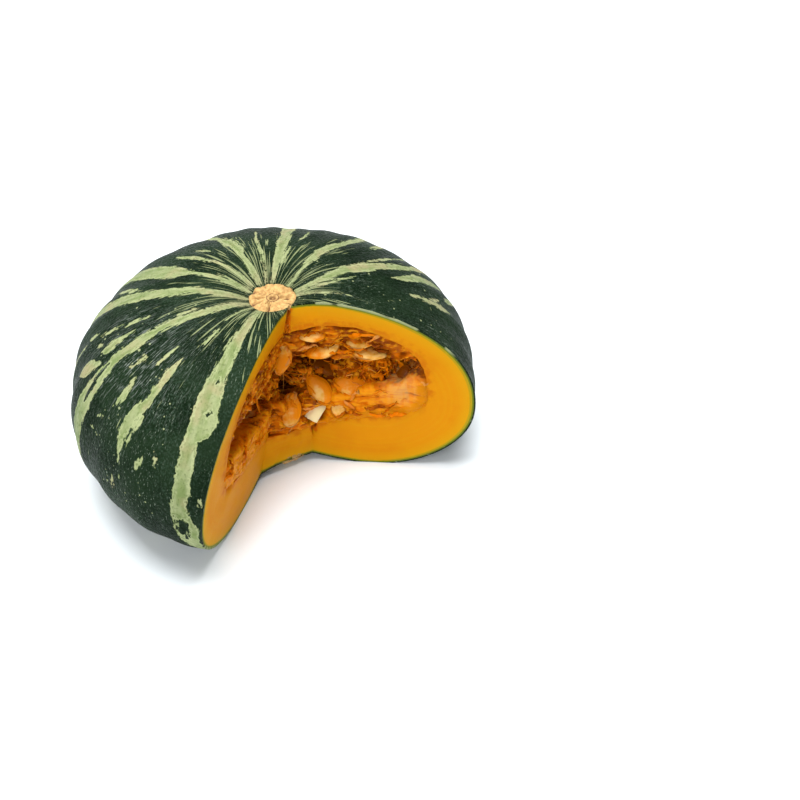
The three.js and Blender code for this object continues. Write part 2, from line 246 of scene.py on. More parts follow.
def set_vertices(piece, points):
    """Puts a piece's vertices at points in millimetres about the fruit's axis."""
    piece.data.vertices.foreach_set("co", (points * MM + np.array(AXIS)).ravel())
    piece.data.update()


def grown_round(name, segments, rings, rule):
    """A globe whose vertices follow a rule of share and azimuth."""
    bpy.ops.object.select_all(action="DESELECT")
    bpy.ops.mesh.primitive_uv_sphere_add(segments=segments, ring_count=rings, radius=1)
    piece = bpy.context.object
    piece.name = name
    x, y, z = raw_points(piece).T
    share = 1 - np.arccos(np.clip(z, -1, 1)) / np.pi
    set_vertices(piece, rule(share, np.arctan2(y, x)))
    return piece


def pick(piece):
    """Makes a piece the active one and the only one selected."""
    bpy.ops.object.select_all(action="DESELECT")
    bpy.context.view_layer.objects.active = piece
    piece.select_set(True)


def modify(piece, kind, **settings):
    """Puts a modifier on a piece and applies it."""
    pick(piece)
    bpy.ops.object.modifier_add(type=kind)
    modifier = piece.modifiers[-1]
    for key, value in settings.items():
        setattr(modifier, key, value)
    bpy.ops.object.modifier_apply(modifier=modifier.name)


def cut_away(piece, *others):
    """Cuts other shapes out of a piece, one after another."""
    for other in others:
        modify(piece, "BOOLEAN", operation="DIFFERENCE", solver="MANIFOLD", object=other)


def edit_all(piece):
    """Opens a piece in edit mode with all of it selected."""
    pick(piece)
    bpy.ops.object.mode_set(mode="EDIT")
    bpy.ops.mesh.select_all(action="SELECT")


def delete(*pieces):
    """Removes helper shapes."""
    for piece in pieces:
        bpy.data.objects.remove(piece)


def wander(points, size, seed=0.0):
    """Smooth random values between about -1 and 1, one for each point."""
    shift = Vector((seed, 1.7 * seed, -seed))
    return np.array([noise.noise(Vector(p) / size + shift) for p in points])


def on_height(ends, z):
    """A corner line's place at each height."""
    share = (z - CUT_HEIGHTS[0]) / (CUT_HEIGHTS[1] - CUT_HEIGHTS[0])
    return ends[0] + (ends[1] - ends[0]) * share[:, None]


def heading(angle):
    """A level direction."""
    return np.array([np.cos(radians(angle)), np.sin(radians(angle))])


CUT_CELLS = (190, 90)
CUT_REACH = 112.0
CUT_SPAN = (-6.0, 106.0)
CUT_DRAWN_OUT = 200.0
TORN_SHARES = (0.42, 0.58)
TEAR = 0.7
TORN_NOTCH = (-16.7, -62.5, 36.5)
TORN_FLAP = (-14.9, -58.2, 39.5)
NOTCH_DEPTH = 3.0
GROOVE_DEPTH = 1.0
CRACK_DEPTH = 4.0
CRACK_HEIGHT = 22.5
KNIFE_WAVE = 0.12


def bell(value, middle, width):
    """A smooth hump, one at its middle."""
    return np.exp(-((value - middle) / width) ** 2)


def near_spot(points, middle, reach):
    """A smooth hump about a place, one at its middle."""
    return bell(np.linalg.norm(points - np.array(middle), axis=1), 0, reach)


def wedge_cutter(name):
    """The space of the wedge: a fine sheet along the cut faces, drawn out towards the front."""
    bpy.ops.object.select_all(action="DESELECT")
    bpy.ops.mesh.primitive_grid_add(x_subdivisions=CUT_CELLS[0], y_subdivisions=CUT_CELLS[1], size=2)
    cutter = bpy.context.object
    cutter.name = name
    u, v = (raw_points(cutter)[:, :2] + 1).T / 2
    z = CUT_SPAN[0] + v * (CUT_SPAN[1] - CUT_SPAN[0])
    corner, crease = on_height(CORNER, z), on_height(CREASE, z)
    left_end, right_end = TORN_SHARES
    left = np.clip(1 - u / left_end, 0, 1)[:, None] * CUT_REACH
    torn = np.clip((u - left_end) / (right_end - left_end), 0, 1)[:, None]
    right = np.clip((u - right_end) / (1 - right_end), 0, 1)[:, None] * CUT_REACH
    place = corner + left * heading(LEFT_CUT) + torn * (crease - corner) + right * heading(RIGHT_CUT)
    sheet = np.column_stack([place, z])
    wave = bell(u, 0.5, 0.07) * TEAR * (wander(sheet, 5.0) + 0.4 * wander(sheet, 1.8, 7.0))
    wave += KNIFE_WAVE * wander(sheet, 9.0, 4.0)
    wave -= GROOVE_DEPTH * bell(u, left_end, 0.006) * np.clip((z - 56) / 8, 0, 1)
    wave -= CRACK_DEPTH * bell(u, right_end, 0.004) * bell(z, CRACK_HEIGHT, 4.5)
    wave -= NOTCH_DEPTH * near_spot(sheet, TORN_NOTCH, 3)
    front = heading((LEFT_CUT + RIGHT_CUT) / 2)
    sheet[:, :2] += wave[:, None] * front
    set_vertices(cutter, sheet)
    edit_all(cutter)
    draw_out = {"value": (*(front * CUT_DRAWN_OUT * MM), 0)}
    bpy.ops.mesh.extrude_region_move(TRANSFORM_OT_translate=draw_out)
    bpy.ops.mesh.select_all(action="SELECT")
    bpy.ops.mesh.normals_make_consistent(inside=False)
    bpy.ops.object.mode_set(mode="OBJECT")
    return cutter


def curve_distance(points, curve):
    """Each point's distance from a profile curve in the plane through the fruit's axis."""
    spots = np.stack([np.hypot(points[:, 0], points[:, 1]), points[:, 2]], axis=1)
    nearest = np.full(len(spots), 1e9)
    for start, end in zip(curve[:-1], curve[1:]):
        course = end - start
        along = np.clip((spots - start) @ course / (course @ course), 0, 1)
        gap = spots - start - along[:, None] * course
        nearest = np.minimum(nearest, np.hypot(gap[:, 0], gap[:, 1]))
    return nearest


def write_values(piece, **values):
    """Stores numbers for a piece's vertices under their names, for its material."""
    for name, numbers in values.items():
        numbers = np.full(len(piece.data.vertices), numbers, dtype=float)
        piece.data.attributes.new(name, "FLOAT", "POINT").data.foreach_set("value", numbers)


def settle(piece, finish, slot, *nodes, crisp=180):
    """Gives a piece its finish, with edges crisp past an angle in degrees, and ties it to the part."""
    pick(piece)
    bpy.ops.object.shade_smooth_by_angle(angle=radians(crisp))
    piece.data.materials.clear()
    piece.data.materials.append(finish)
    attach(piece, "root")
    if nodes:
        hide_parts(*nodes)


wedge = wedge_cutter("wedge_space")
flesh = grown_round("flesh_wall", 180, 90, under_rind)
cavity = grown_round("cavity_space", 200, 100, cavity_points)
cavity_shape = vertex_array(cavity)
grain = 0.8 * wander(cavity_shape, 6.0, 2.0) + 0.4 * wander(cavity_shape, 2.2, 5.0)
pull = cavity_shape - np.array([0, 0, CAVITY_HEIGHT])
pull /= np.linalg.norm(pull, axis=1, keepdims=True)
set_vertices(cavity, cavity_shape + grain[:, None] * pull)
cut_away(flesh, cavity, wedge)

shares = np.linspace(0, 1, 160)
skin_curve = np.stack(skin_profile(shares), axis=1)
cavity_curve = cavity_points(shares, np.zeros_like(shares))[:, [0, 2]]
flesh_shape = vertex_array(flesh)
rim_gap = np.clip(curve_distance(flesh_shape, cavity_curve), 0, 40)
under_skin = np.clip(curve_distance(flesh_shape, skin_curve), 0, 40)
height = flesh_shape[:, 2]
off_corner = np.linalg.norm(flesh_shape[:, :2] - on_height(CORNER, height), axis=1)
off_crease = np.linalg.norm(flesh_shape[:, :2] - on_height(CREASE, height), axis=1)
tear = bell(off_corner, 0, 2.4) * np.clip((height - 54) / 8, 0, 1)
tear += 1.2 * near_spot(flesh_shape, TORN_NOTCH, 3.16)
tear += 2.6 * bell(off_crease, 0, 1.7) * bell(height, 23, 4)
write_values(flesh, under_skin=under_skin, from_cavity=rim_gap, tear=np.clip(tear, 0, 2))


def read_value(tree, name):
    """A number that a piece's vertices carry."""
    return put(tree, "ShaderNodeAttribute", attribute_name=name).outputs["Fac"]


def object_noise(tree, scale, detail=3.0, place=None):
    """Noise in the piece's own place, or in another coordinate."""
    where = place or put(tree, "ShaderNodeTexCoord").outputs["Object"]
    texture = put(tree, "ShaderNodeTexNoise", {"Vector": where, "Scale": scale, "Detail": detail})
    return texture.outputs["Fac"]


def span(tree, value, low, high, to_low=0.0, to_high=1.0, smooth=True):
    """Maps a value from one range to another."""
    kind = "SMOOTHSTEP" if smooth else "LINEAR"
    inputs = {"Value": value, "From Min": low, "From Max": high, "To Min": to_low, "To Max": to_high}
    return put(tree, "ShaderNodeMapRange", inputs, interpolation_type=kind).outputs["Result"]


def maths(tree, operation, a, b=0.0):
    """One sum of two values."""
    return put(tree, "ShaderNodeMath", {0: a, 1: b}, operation=operation).outputs["Value"]


def frayed(tree, value, noise_value, amount):
    """A value with noise added, by up to an amount either way."""
    return maths(tree, "ADD", value, span(tree, noise_value, 0.3, 0.7, -amount, amount, False))


def bumped(tree, shader, height, strength, distance):
    """Fine relief from a height value."""
    inputs = {"Strength": strength, "Distance": distance, "Height": height}
    bump = put(tree, "ShaderNodeBump", inputs)
    tree.links.new(bump.outputs["Normal"], shader.inputs["Normal"])


def surface(tree, shader, colour, roughness, specular):
    """Gives a shader its colour and roughness, and the strength of its shine."""
    tree.links.new(colour, shader.inputs["Base Color"])
    tree.links.new(roughness, shader.inputs["Roughness"])
    shader.inputs["Specular IOR Level"].default_value = specular


def glow(shader, weight, radius, scale):
    """Lets light run a little way under a moist surface."""
    shader.inputs["Subsurface Weight"].default_value = weight
    shader.inputs["Subsurface Radius"].default_value = radius
    shader.inputs["Subsurface Scale"].default_value = scale


FLESH_ORANGE = (0.61, 0.228, 0.001)
FLESH_DEEP = (0.52, 0.145, 0.001)
FLESH_YELLOW = (0.60, 0.295, 0.003)
FLESH_GREEN = (0.32, 0.25, 0.008)
FLESH_TORN = (0.52, 0.12, 0.001)
# Painted shade: near black down the crack at the crease between the cut faces.
FLESH_CRACK_SHADE = (0.13, 0.025, 0.001)

flesh_finish, tree, shader = new_finish("moist_flesh", 0.42)
depth = read_value(tree, "under_skin")
inner = read_value(tree, "from_cavity")
cells = object_noise(tree, 900.0, 4.0)
clouds = object_noise(tree, 55.0, 4.0)
ragged = maths(tree, "ADD", inner, span(tree, object_noise(tree, 260.0, 3.0), 0.3, 0.7, -2.0, 2.0))
colour = mixed(tree, span(tree, ragged, 0.0, 4.0), FLESH_DEEP, FLESH_ORANGE)
colour = mixed(tree, span(tree, clouds, 0.45, 0.75, 0.0, 0.35), colour, FLESH_DEEP)
in_layers = {"X": depth, "Y": maths(tree, "MULTIPLY", clouds, 3.0)}
layers = object_noise(tree, 0.5, 3.0, put(tree, "ShaderNodeCombineXYZ", in_layers).outputs[0])
colour = mixed(tree, span(tree, layers, 0.48, 0.68, 0.0, 0.28), colour, FLESH_YELLOW)
colour = mixed(tree, span(tree, depth, 2.2, 9.0, 0.75, 0.0), colour, FLESH_YELLOW)
colour = mixed(tree, span(tree, depth, 1.6, 2.4, 0.8, 0.0), colour, FLESH_GREEN)
colour = mixed(tree, span(tree, cells, 0.55, 0.75, 0.0, 0.18), colour, FLESH_YELLOW)
torn = frayed(tree, read_value(tree, "tear"), object_noise(tree, 300.0), 0.3)
colour = mixed(tree, span(tree, torn, 0.35, 0.9), colour, FLESH_TORN)
# Painted shade in the crack at the crease.
colour = mixed(tree, span(tree, torn, 1.1, 1.6), colour, FLESH_CRACK_SHADE)
surface(tree, shader, colour, span(tree, clouds, 0.3, 0.7, 0.38, 0.52), 0.03)
glow(shader, 0.15, (1.0, 0.35, 0.08), 0.004)
bumped(tree, shader, cells, 0.25, 0.0006)
settle(flesh, flesh_finish, "flesh", "flesh", crisp=35)


# Rind
# The thin hard skin, grown on the flesh: dark green and waxy, with shallow ribs. Pale broken
# stripes run down from the stem, and the knife shows it as a dark line round the orange cut.

STEM_SCAR_RADIUS = 10.8
HOLE_SIDES = 96
HOLE_PLAY = 0.2
HOLE_DEPTH = 16.0
HOLE_HEIGHT = 95.0
UNDER_TABLE = 0.5

rind = grown_round("rind_skin", 440, 200, skin_points)
rind_inside = grown_round("rind_inside", 180, 90, under_rind)
bpy.ops.object.select_all(action="DESELECT")
bpy.ops.mesh.primitive_cylinder_add(
    vertices=HOLE_SIDES, radius=(STEM_SCAR_RADIUS - HOLE_PLAY) * MM, depth=HOLE_DEPTH * MM,
    location=AXIS + SCAR_OFFSET + Vector((0, 0, HOLE_HEIGHT * MM)))
scar_hole = bpy.context.object
bpy.ops.object.transform_apply(location=True, rotation=True, scale=True)
bpy.ops.object.select_all(action="DESELECT")
bpy.ops.mesh.primitive_cube_add(size=UNDER_TABLE, location=(0, 0, -UNDER_TABLE / 2))
under_table = bpy.context.object
bpy.ops.object.transform_apply(location=True, rotation=True, scale=True)
cut_away(rind, rind_inside, wedge, scar_hole, under_table)
delete(rind_inside, scar_hole, under_table)

# Each stripe: its course as (percent of the way up, azimuth, half width in degrees)
STRIPES = [
    [(10, 87, 2.0), (50, 87, 2.4), (75.5, 86, 2.8), (80, 85.3, 3.2), (85, 84.5, 3.6),
     (90, 83.5, 4.6), (93, 83, 5.0), (95, 84, 4.0), (97, 85, 4.0)],
    [(88.5, 77.5, 0.5), (90, 77, 1.6), (92.5, 76.5, 1.8), (93.5, 76, 0.5)],
    [(81, 100.5, 0.6), (84, 101.5, 1.2), (86, 102, 1.4), (89, 101.5, 1.0), (91, 100.5, 1.6),
     (95, 99.5, 1.4), (97, 100, 2.0)],
    [(12, 122, 1.5), (55, 121, 2.0), (76, 119, 1.5), (80, 118, 1.8), (85, 117, 2.9),
     (88, 115.9, 3.6), (90, 117.5, 2.6), (93, 118, 4.0), (95, 118, 5.6), (97, 117, 6.5)],
    [(82, 113.5, 0.6), (85, 113, 1.2), (87, 112.5, 0.8)],
    [(82, 133.5, 0.5), (84, 131.8, 1.0), (85, 131, 0.4)],
    [(80, 142.5, 0.5), (82, 142, 1.4), (85, 141.3, 1.4), (88, 140.6, 1.8), (90, 140, 2.3),
     (93, 139.5, 2.5), (97, 137.5, 4.5)],
    [(15, 156, 2.0), (50, 153, 2.6), (68, 152.4, 2.8), (72, 152.4, 3.4), (77, 153.8, 4.4),
     (82, 155.6, 5.4), (84.5, 156.6, 5.0), (85.5, 155.4, 3.0), (88, 155.8, 1.9), (90, 156.4, 2.0),
     (93, 157.8, 5.0), (97, 158, 8.0)],
    [(69, 160.5, 0.5), (73, 163.5, 1.0), (76, 166, 1.0), (78, 167.5, 0.5)],
    [(15, 172, 1.6), (50, 169, 2.0), (66, 168.3, 2.2), (70, 169.8, 3.2), (75, 171.2, 3.4),
     (80, 173.6, 3.5), (85, 176.2, 3.6), (90, 178.8, 3.6), (93, 184, 5.0), (97, 190, 8.0)],
    [(56, 183.5, 1.2), (60, 182.8, 0.7), (64.5, 183.2, 0.8), (65.5, 183.2, 0.1)],
    [(67, 182.6, 0.7), (69, 183, 0.9), (70, 183.6, 0.3)],
    [(70.5, 186, 0.4), (75, 187.5, 0.7), (79, 190, 0.8), (81.5, 191.3, 1.3), (82, 191.2, 0.3)],
    [(69.3, 189.5, 0.6), (70, 190, 1.4), (71, 191, 0.5)],
    [(71, 195.5, 0.5), (72, 196.3, 2.2), (74, 196, 2.0), (77, 196.2, 1.2), (79, 196.5, 0.4)],
    [(63.3, 194, 1.2), (64.5, 195, 2.6), (67, 195.8, 2.6), (69, 197.5, 1.4), (70, 199, 0.6)],
    [(15, 206, 1.5), (46, 205, 2.0), (50, 204.5, 3.0), (55, 204.3, 3.8), (62, 204.2, 4.0),
     (65, 204.6, 3.6), (72, 203.8, 2.9), (80, 204.2, 2.9), (85, 205, 2.7), (88, 207, 3.0),
     (92, 211.5, 4.2), (97, 214, 6.5)],
    [(86.5, 201, 0.5), (88, 201.5, 1.3), (89.5, 202.5, 1.5), (90, 203, 0.4)],
    [(75, 212.5, 0.6), (77, 213.2, 1.4), (78.5, 213.6, 1.2), (79, 214, 0.3)],
    [(62.8, 214, 0.3), (63.7, 214.2, 0.9), (64.5, 214.8, 0.3)],
    [(59.6, 212.2, 0.3), (60, 212.3, 0.9), (60.5, 212.5, 0.3)],
    [(67.5, 218, 0.3), (69, 218.3, 1.2), (71, 219, 1.8), (73.5, 218.2, 1.2), (74.7, 218.3, 0.6)],
    [(79, 221.2, 0.4), (81, 222, 0.9), (83.5, 222.6, 0.6), (84, 222.8, 0.2)],
    [(55, 228.6, 0.2), (58, 227.8, 0.35), (60, 227, 0.7), (62, 226.7, 1.0), (65, 226, 2.0),
     (68, 226.3, 2.0), (70, 227, 2.6), (72, 228.8, 2.2), (75, 229.2, 2.0), (78, 229.6, 1.8),
     (80, 229.2, 1.9), (82, 230.2, 0.8), (82.5, 230.4, 0.2)],
    [(62.5, 229, 0.3), (65, 229.2, 0.5), (68, 229.8, 0.7), (70, 230.3, 1.0)],
    [(51.2, 226, 0.4), (53, 226.1, 0.6), (54.5, 226, 0.2)],
    [(85, 232.6, 0.6), (87, 233.8, 1.5), (89, 235, 1.6), (89.7, 236, 0.5)],
    [(91.5, 232, 0.6), (93, 232.5, 1.4), (95, 232.8, 2.2), (97, 233, 3.0)],
    [(59.7, 234.8, 0.6), (61, 235, 1.1), (62.5, 235.6, 0.7), (63, 236, 0.2)],
    [(61.5, 240, 0.4), (63.5, 239.6, 0.6), (65, 239.2, 0.3)],
    [(52.5, 248.6, 2.4), (55, 248.6, 2.4), (62, 248.9, 2.3), (69, 248.8, 2.3), (70.5, 250.4, 4.0),
     (73.5, 251.2, 4.8), (77, 251, 4.8), (80, 250.6, 4.1), (85, 251.4, 4.0), (90, 252.6, 5.2),
     (95, 255.5, 5.6), (97, 256.5, 6.5)],
    [(40, 249.8, 0.8), (44, 248.8, 0.7), (48, 247.5, 0.5), (52, 246.7, 0.7), (54, 246.9, 0.9)],
    [(10, 251, 1.5), (30, 251.5, 1.8), (44, 251.4, 1.6), (48, 251.9, 1.6), (50, 251.7, 1.3),
     (52.5, 250.6, 0.7)],
    [(55.5, 254.2, 0.3), (57, 254.3, 0.6), (57.5, 254.2, 0.2)],
    [(12, 40, 1.4), (60, 36, 1.4), (68, 33, 1.4), (72, 31, 1.4), (77, 29.2, 2.0),
     (80, 28.6, 2.4), (82, 28.2, 3.2), (85, 27, 4.4), (88, 26, 4.4), (90, 23, 4.6),
     (93, 17.5, 4.2), (97, 10, 6.0)],
    [(69, 40.5, 0.6), (73, 38, 0.6), (78, 35, 0.7), (81, 33.3, 0.9), (84, 32, 1.0)],
    [(86.8, 18.5, 0.5), (89, 15.5, 1.2), (91, 12.5, 1.6), (93, 8.5, 1.6), (95.5, 4, 2.2),
     (97, 2, 3.0)],
    [(65, 26, 1.6), (70, 25, 2.6), (74, 23.2, 2.2), (77, 21, 2.0), (80, 19.4, 0.6)],
    [(66.5, 11, 0.6), (69, 11.5, 1.3), (73, 11, 1.3), (76, 10.5, 1.0), (77, 10.6, 0.3)],
    [(69, 15, 0.5), (70.5, 13.8, 0.9), (72, 12.8, 0.6)],
    [(30, 26, 0.6), (60, 24, 1.0), (63, 20.5, 1.8), (66, 18, 1.2), (67, 17.5, 0.3)],
    [(70, 50.5, 0.8), (73, 48.2, 1.2), (76, 46.3, 1.0), (77.5, 46, 0.3)],
    [(12, 64, 1.4), (60, 60, 1.6), (72, 57.5, 1.6), (77, 55, 1.5), (80, 54, 1.8), (85, 54.3, 2.8),
     (88, 54.3, 3.4), (90, 52.8, 3.6), (93, 49.5, 3.0), (95, 45, 2.6), (97, 40, 4.0)],
    [(79, 75, 0.4), (82, 74.3, 1.0), (84.5, 74.3, 0.6), (85, 74.3, 0.2)],
    [(88, -2.6, 0.5), (93, -2.2, 1.2), (97, -1.0, 4.0)],
    [(12, 188, 1.2), (34, 188, 1.6), (46, 187, 0.5)],
    [(10, 138, 1.2), (40, 138, 1.8), (56, 138, 0.5)],
    [(10, 104, 1.2), (42, 104, 1.6), (60, 103, 0.5)],
    [(10, 228, 1.2), (30, 229, 1.8), (40, 229, 0.5)],
    [(10, 14, 1.2), (36, 13, 1.6), (50, 12, 0.5)],
]
# Dark islands inside the stripes, in the same terms
ISLANDS = [
    [(62.5, 204.6, 0.4), (66, 204.3, 1.2), (69, 203.4, 0.9), (72, 203.3, 0.3)],
    [(80, 251.7, 0.3), (80.6, 251.7, 0.7), (81.2, 251.7, 0.3)],
    [(74.4, 252.0, 0.5), (74.8, 252.3, 1.0), (75.2, 252.6, 0.4)],
]
FAR_OUTSIDE = -8.0
END_FALL = 260


def band_margin(bands, share, azimuth):
    """How far inside the nearest band's edge each spot lies, in millimetres; below nought outside."""
    radius = skin_profile(share)[0]
    margin = np.full(len(share), FAR_OUTSIDE)
    for band in bands:
        at, course, half = np.array(band).T
        at = at / 100
        middle = np.interp(share, at, course)
        width = np.interp(share, at, half)
        aside = (azimuth - middle + 180) % 360 - 180
        past_end = np.maximum(np.maximum(at[0] - share, share - at[-1]), 0) * END_FALL
        margin = np.maximum(margin, np.radians(width - np.abs(aside)) * radius - past_end)
    return margin


def off_cut(points, corner, angle):
    """How far each point lies to the left of an upright cut through a corner."""
    along = heading(angle)
    return (points[:, :2] - corner) @ np.array([-along[1], along[0]])


rind_shape = vertex_array(rind)
curve_share = np.linspace(0, 1, 700)
curve_radius, curve_height = skin_profile(curve_share)
turn_of_curve = np.arctan2(curve_height - BELLY_HEIGHT, curve_radius)
rind_turn = np.arctan2(rind_shape[:, 2] - BELLY_HEIGHT, np.hypot(rind_shape[:, 0], rind_shape[:, 1]))
rind_share = np.interp(rind_turn, turn_of_curve, curve_share)
rind_azimuth = np.arctan2(rind_shape[:, 1], rind_shape[:, 0])
azimuth_degrees = np.degrees(rind_azimuth)
stripe = band_margin(STRIPES, rind_share, azimuth_degrees)
stripe = np.minimum(stripe, -band_margin(ISLANDS, rind_share, azimuth_degrees))
# Partly waxy bloom and partly painted sheen: a pale patch on the upper left shoulder, where the light falls
# on the skin.
bloom = bell((azimuth_degrees - 208 + 180) % 360 - 180, 0, 26) * bell(rind_share, 0.78, 0.10)
rib_scale = 1 + np.clip(np.sin(np.pi * rind_share), 0, 1) ** 0.7 * rib_relief(rind_azimuth)
belly_middle = np.array([0, 0, BELLY_HEIGHT])
unribbed = belly_middle + (rind_shape - belly_middle) / rib_scale[:, None]
under_skin = np.clip(curve_distance(unribbed, skin_curve), 0, 3)
beside_cut = np.abs(off_cut(rind_shape, CREASE[0], RIGHT_CUT))
cut_line = np.clip(1 - beside_cut / 0.6, 0, 1) * np.clip((rind_share - 0.62) / 0.1, 0, 1)
cut_line *= rind_shape[:, 0] > 0
stripe = np.clip(stripe, FAR_OUTSIDE, 8)
write_values(rind, stripe=stripe, bloom=bloom, under_skin=under_skin, cut_line=cut_line)
lay = np.stack([np.cos(rind_azimuth), np.sin(rind_azimuth), 0.9 * rind_share], axis=1)
rind.data.attributes.new("lay", "FLOAT_VECTOR", "POINT").data.foreach_set("vector", lay.ravel())

SKIN_DARK = (0.003, 0.009, 0.003)
SKIN_MID = (0.010, 0.022, 0.009)
SKIN_PALE = (0.255, 0.29, 0.14)
SKIN_PALE_GREEN = (0.157, 0.207, 0.073)
SKIN_DOT = (0.31, 0.35, 0.18)
SKIN_UNDER = (0.15, 0.18, 0.012)
# Bloom colour: partly waxy bloom, partly painted sheen.
SKIN_BLOOM_SHEEN = (0.25, 0.28, 0.25)
SKIN_SPECK = (0.028, 0.049, 0.031)
# Painted highlight colour for the glints on the skin.
SKIN_PAINTED_GLINT = (0.17, 0.21, 0.16)
SKIN_BEIGE = (0.30, 0.265, 0.14)
SKIN_MOTTLE = (0.075, 0.105, 0.035)
SKIN_EDGE = (0.35, 0.385, 0.20)


def stretched(tree, place, scale):
    """A coordinate drawn out along its axes."""
    return put(tree, "ShaderNodeMapping", {"Vector": place, "Scale": scale}).outputs["Vector"]


rind_finish, tree, shader = new_finish("waxy_rind", 0.42)
lie = put(tree, "ShaderNodeAttribute", attribute_name="lay").outputs["Vector"]
place = put(tree, "ShaderNodeTexCoord").outputs["Object"]
streaks = object_noise(tree, 22.0, 4.0, lie)
fray = object_noise(tree, 60.0, 3.0, lie)
grain = object_noise(tree, 700.0, 3.0, place)
edge = frayed(tree, read_value(tree, "stripe"), streaks, 0.8)
edge = frayed(tree, frayed(tree, edge, fray, 0.8), grain, 0.5)
pale = span(tree, edge, -0.25, 0.35)
shades = object_noise(tree, 45.0, 5.0, place)
dark_tone = mixed(tree, span(tree, shades, 0.35, 0.7), SKIN_DARK, SKIN_MID)
dark_tone = mixed(tree, span(tree, fray, 0.55, 0.75, 0.0, 0.5), dark_tone, SKIN_MID)
specks = span(tree, object_noise(tree, 1100.0, 2.0, place), 0.46, 0.70)
speck_where = span(tree, object_noise(tree, 35.0, 2.0, place), 0.3, 0.6, 0.25, 0.75)
dark_tone = mixed(tree, maths(tree, "MULTIPLY", specks, speck_where), dark_tone, SKIN_SPECK)
# Painted highlight: small bright glints, short streaks along the skin, scattered in patches over the dark
# rind.
painted_glints = span(tree, object_noise(tree, 190.0, 2.0, stretched(tree, lie, (1.0, 1.0, 0.7))), 0.63, 0.70)
painted_glint_where = span(tree, object_noise(tree, 25.0, 2.0, place), 0.4, 0.6, 0.15, 0.8)
dark_tone = mixed(tree, maths(tree, "MULTIPLY", painted_glints, painted_glint_where), dark_tone, SKIN_PAINTED_GLINT)
pale_tone = mixed(tree, span(tree, streaks, 0.35, 0.65), SKIN_PALE_GREEN, SKIN_PALE)
beige_where = span(tree, object_noise(tree, 60.0, 4.0, place), 0.47, 0.66, 0.0, 0.85)
pale_tone = mixed(tree, beige_where, pale_tone, SKIN_BEIGE)
mottles = maths(tree, "MULTIPLY", span(tree, grain, 0.5, 0.66), span(tree, fray, 0.42, 0.62, 0.1, 0.5))
pale_tone = mixed(tree, mottles, pale_tone, SKIN_MOTTLE)
pale_rim = maths(tree, "MULTIPLY", span(tree, edge, 0.1, 0.5), span(tree, edge, 0.6, 1.6, 0.55, 0.0))
pale_tone = mixed(tree, pale_rim, pale_tone, SKIN_EDGE)
dots = put(tree, "ShaderNodeTexVoronoi", {"Vector": place, "Scale": 420.0, "Randomness": 1.0})
dot_pick = put(tree, "ShaderNodeSeparateColor", {0: dots.outputs["Color"]}).outputs["Red"]
dot_where = span(tree, object_noise(tree, 28.0, 2.0, place), 0.42, 0.62)
dot_size = maths(tree, "MULTIPLY", span(tree, dot_pick, 0.72, 1.0, 0.0, 0.30, False), dot_where)
dot = span(tree, maths(tree, "SUBTRACT", dot_size, dots.outputs["Distance"]), -0.02, 0.05, 0.0, 0.75)
skin = mixed(tree, dot, dark_tone, SKIN_DOT)
# Painted sheen in streaks, partly waxy bloom, over the upper left shoulder.
sheen_scuffs = object_noise(tree, 120.0, 3.0, stretched(tree, lie, (1.0, 1.0, 0.5)))
scuff_sheen = maths(tree, "MULTIPLY", read_value(tree, "bloom"), span(tree, sheen_scuffs, 0.52, 0.72, 0.0, 0.75))
skin = mixed(tree, scuff_sheen, skin, SKIN_BLOOM_SHEEN)
threads = object_noise(tree, 40.0, 2.0, stretched(tree, lie, (1.0, 1.0, 0.4)))
up_skin = put(tree, "ShaderNodeSeparateXYZ", {0: lie}).outputs["Z"]
threads = maths(tree, "ADD", threads, span(tree, up_skin, 0.68, 0.86, 0.0, 0.19))
skin = mixed(tree, span(tree, threads, 0.73, 0.79, 0.0, 0.8), skin, SKIN_PALE)
skin = mixed(tree, pale, skin, pale_tone)
nick_where = span(tree, object_noise(tree, 90.0, 2.0, place), 0.35, 0.6, 0.3, 1.2)
nick = maths(tree, "MULTIPLY", read_value(tree, "cut_line"), nick_where)
skin = mixed(tree, span(tree, nick, 0.3, 0.6, 0.0, 0.8), skin, SKIN_EDGE)
skin = mixed(tree, span(tree, read_value(tree, "under_skin"), 0.45, 1.3), skin, SKIN_UNDER)
surface(tree, shader, skin, span(tree, grain, 0.3, 0.7, 0.36, 0.55), 0.02)
relief = maths(tree, "ADD", maths(tree, "MULTIPLY", fray, 0.6), maths(tree, "MULTIPLY", grain, 0.5))
relief = maths(tree, "SUBTRACT", relief, maths(tree, "MULTIPLY", pale, 0.15))
bumped(tree, shader, relief, 0.8, 0.0014)
settle(rind, rind_finish, "rind", "rind", crisp=40)


# Scars
# Dry cork on the fruit's two ends. The stalk broke off at the top and left a cracked disc with
# a small pith ring; the flower left a rough button in the dimple underneath.

CORK_LIGHT = (0.54, 0.35, 0.13)
CORK_TAN = (0.38, 0.21, 0.065)
CORK_BROWN = (0.12, 0.045, 0.012)
CORK_CREAM = (0.80, 0.62, 0.28)

cork_finish, tree, shader = new_finish("dry_cork", 0.85)
crack = read_value(tree, "crack")
speckle = object_noise(tree, 600.0, 4.0)
cork = mixed(tree, span(tree, speckle, 0.35, 0.65), CORK_TAN, CORK_LIGHT)
cork = mixed(tree, span(tree, crack, 0.25, 0.9), cork, CORK_BROWN)
cork = mixed(tree, span(tree, crack, -0.5, 0.0, 0.8, 0.0), cork, CORK_CREAM)
surface(tree, shader, cork, span(tree, speckle, 0.3, 0.7, 0.75, 0.95), 0.5)
bumped(tree, shader, speckle, 0.6, 0.0008)


def new_piece(name, mesh):
    """A new object for a mesh."""
    piece = bpy.data.objects.new(name, mesh)
    bpy.context.collection.objects.link(piece)
    return piece


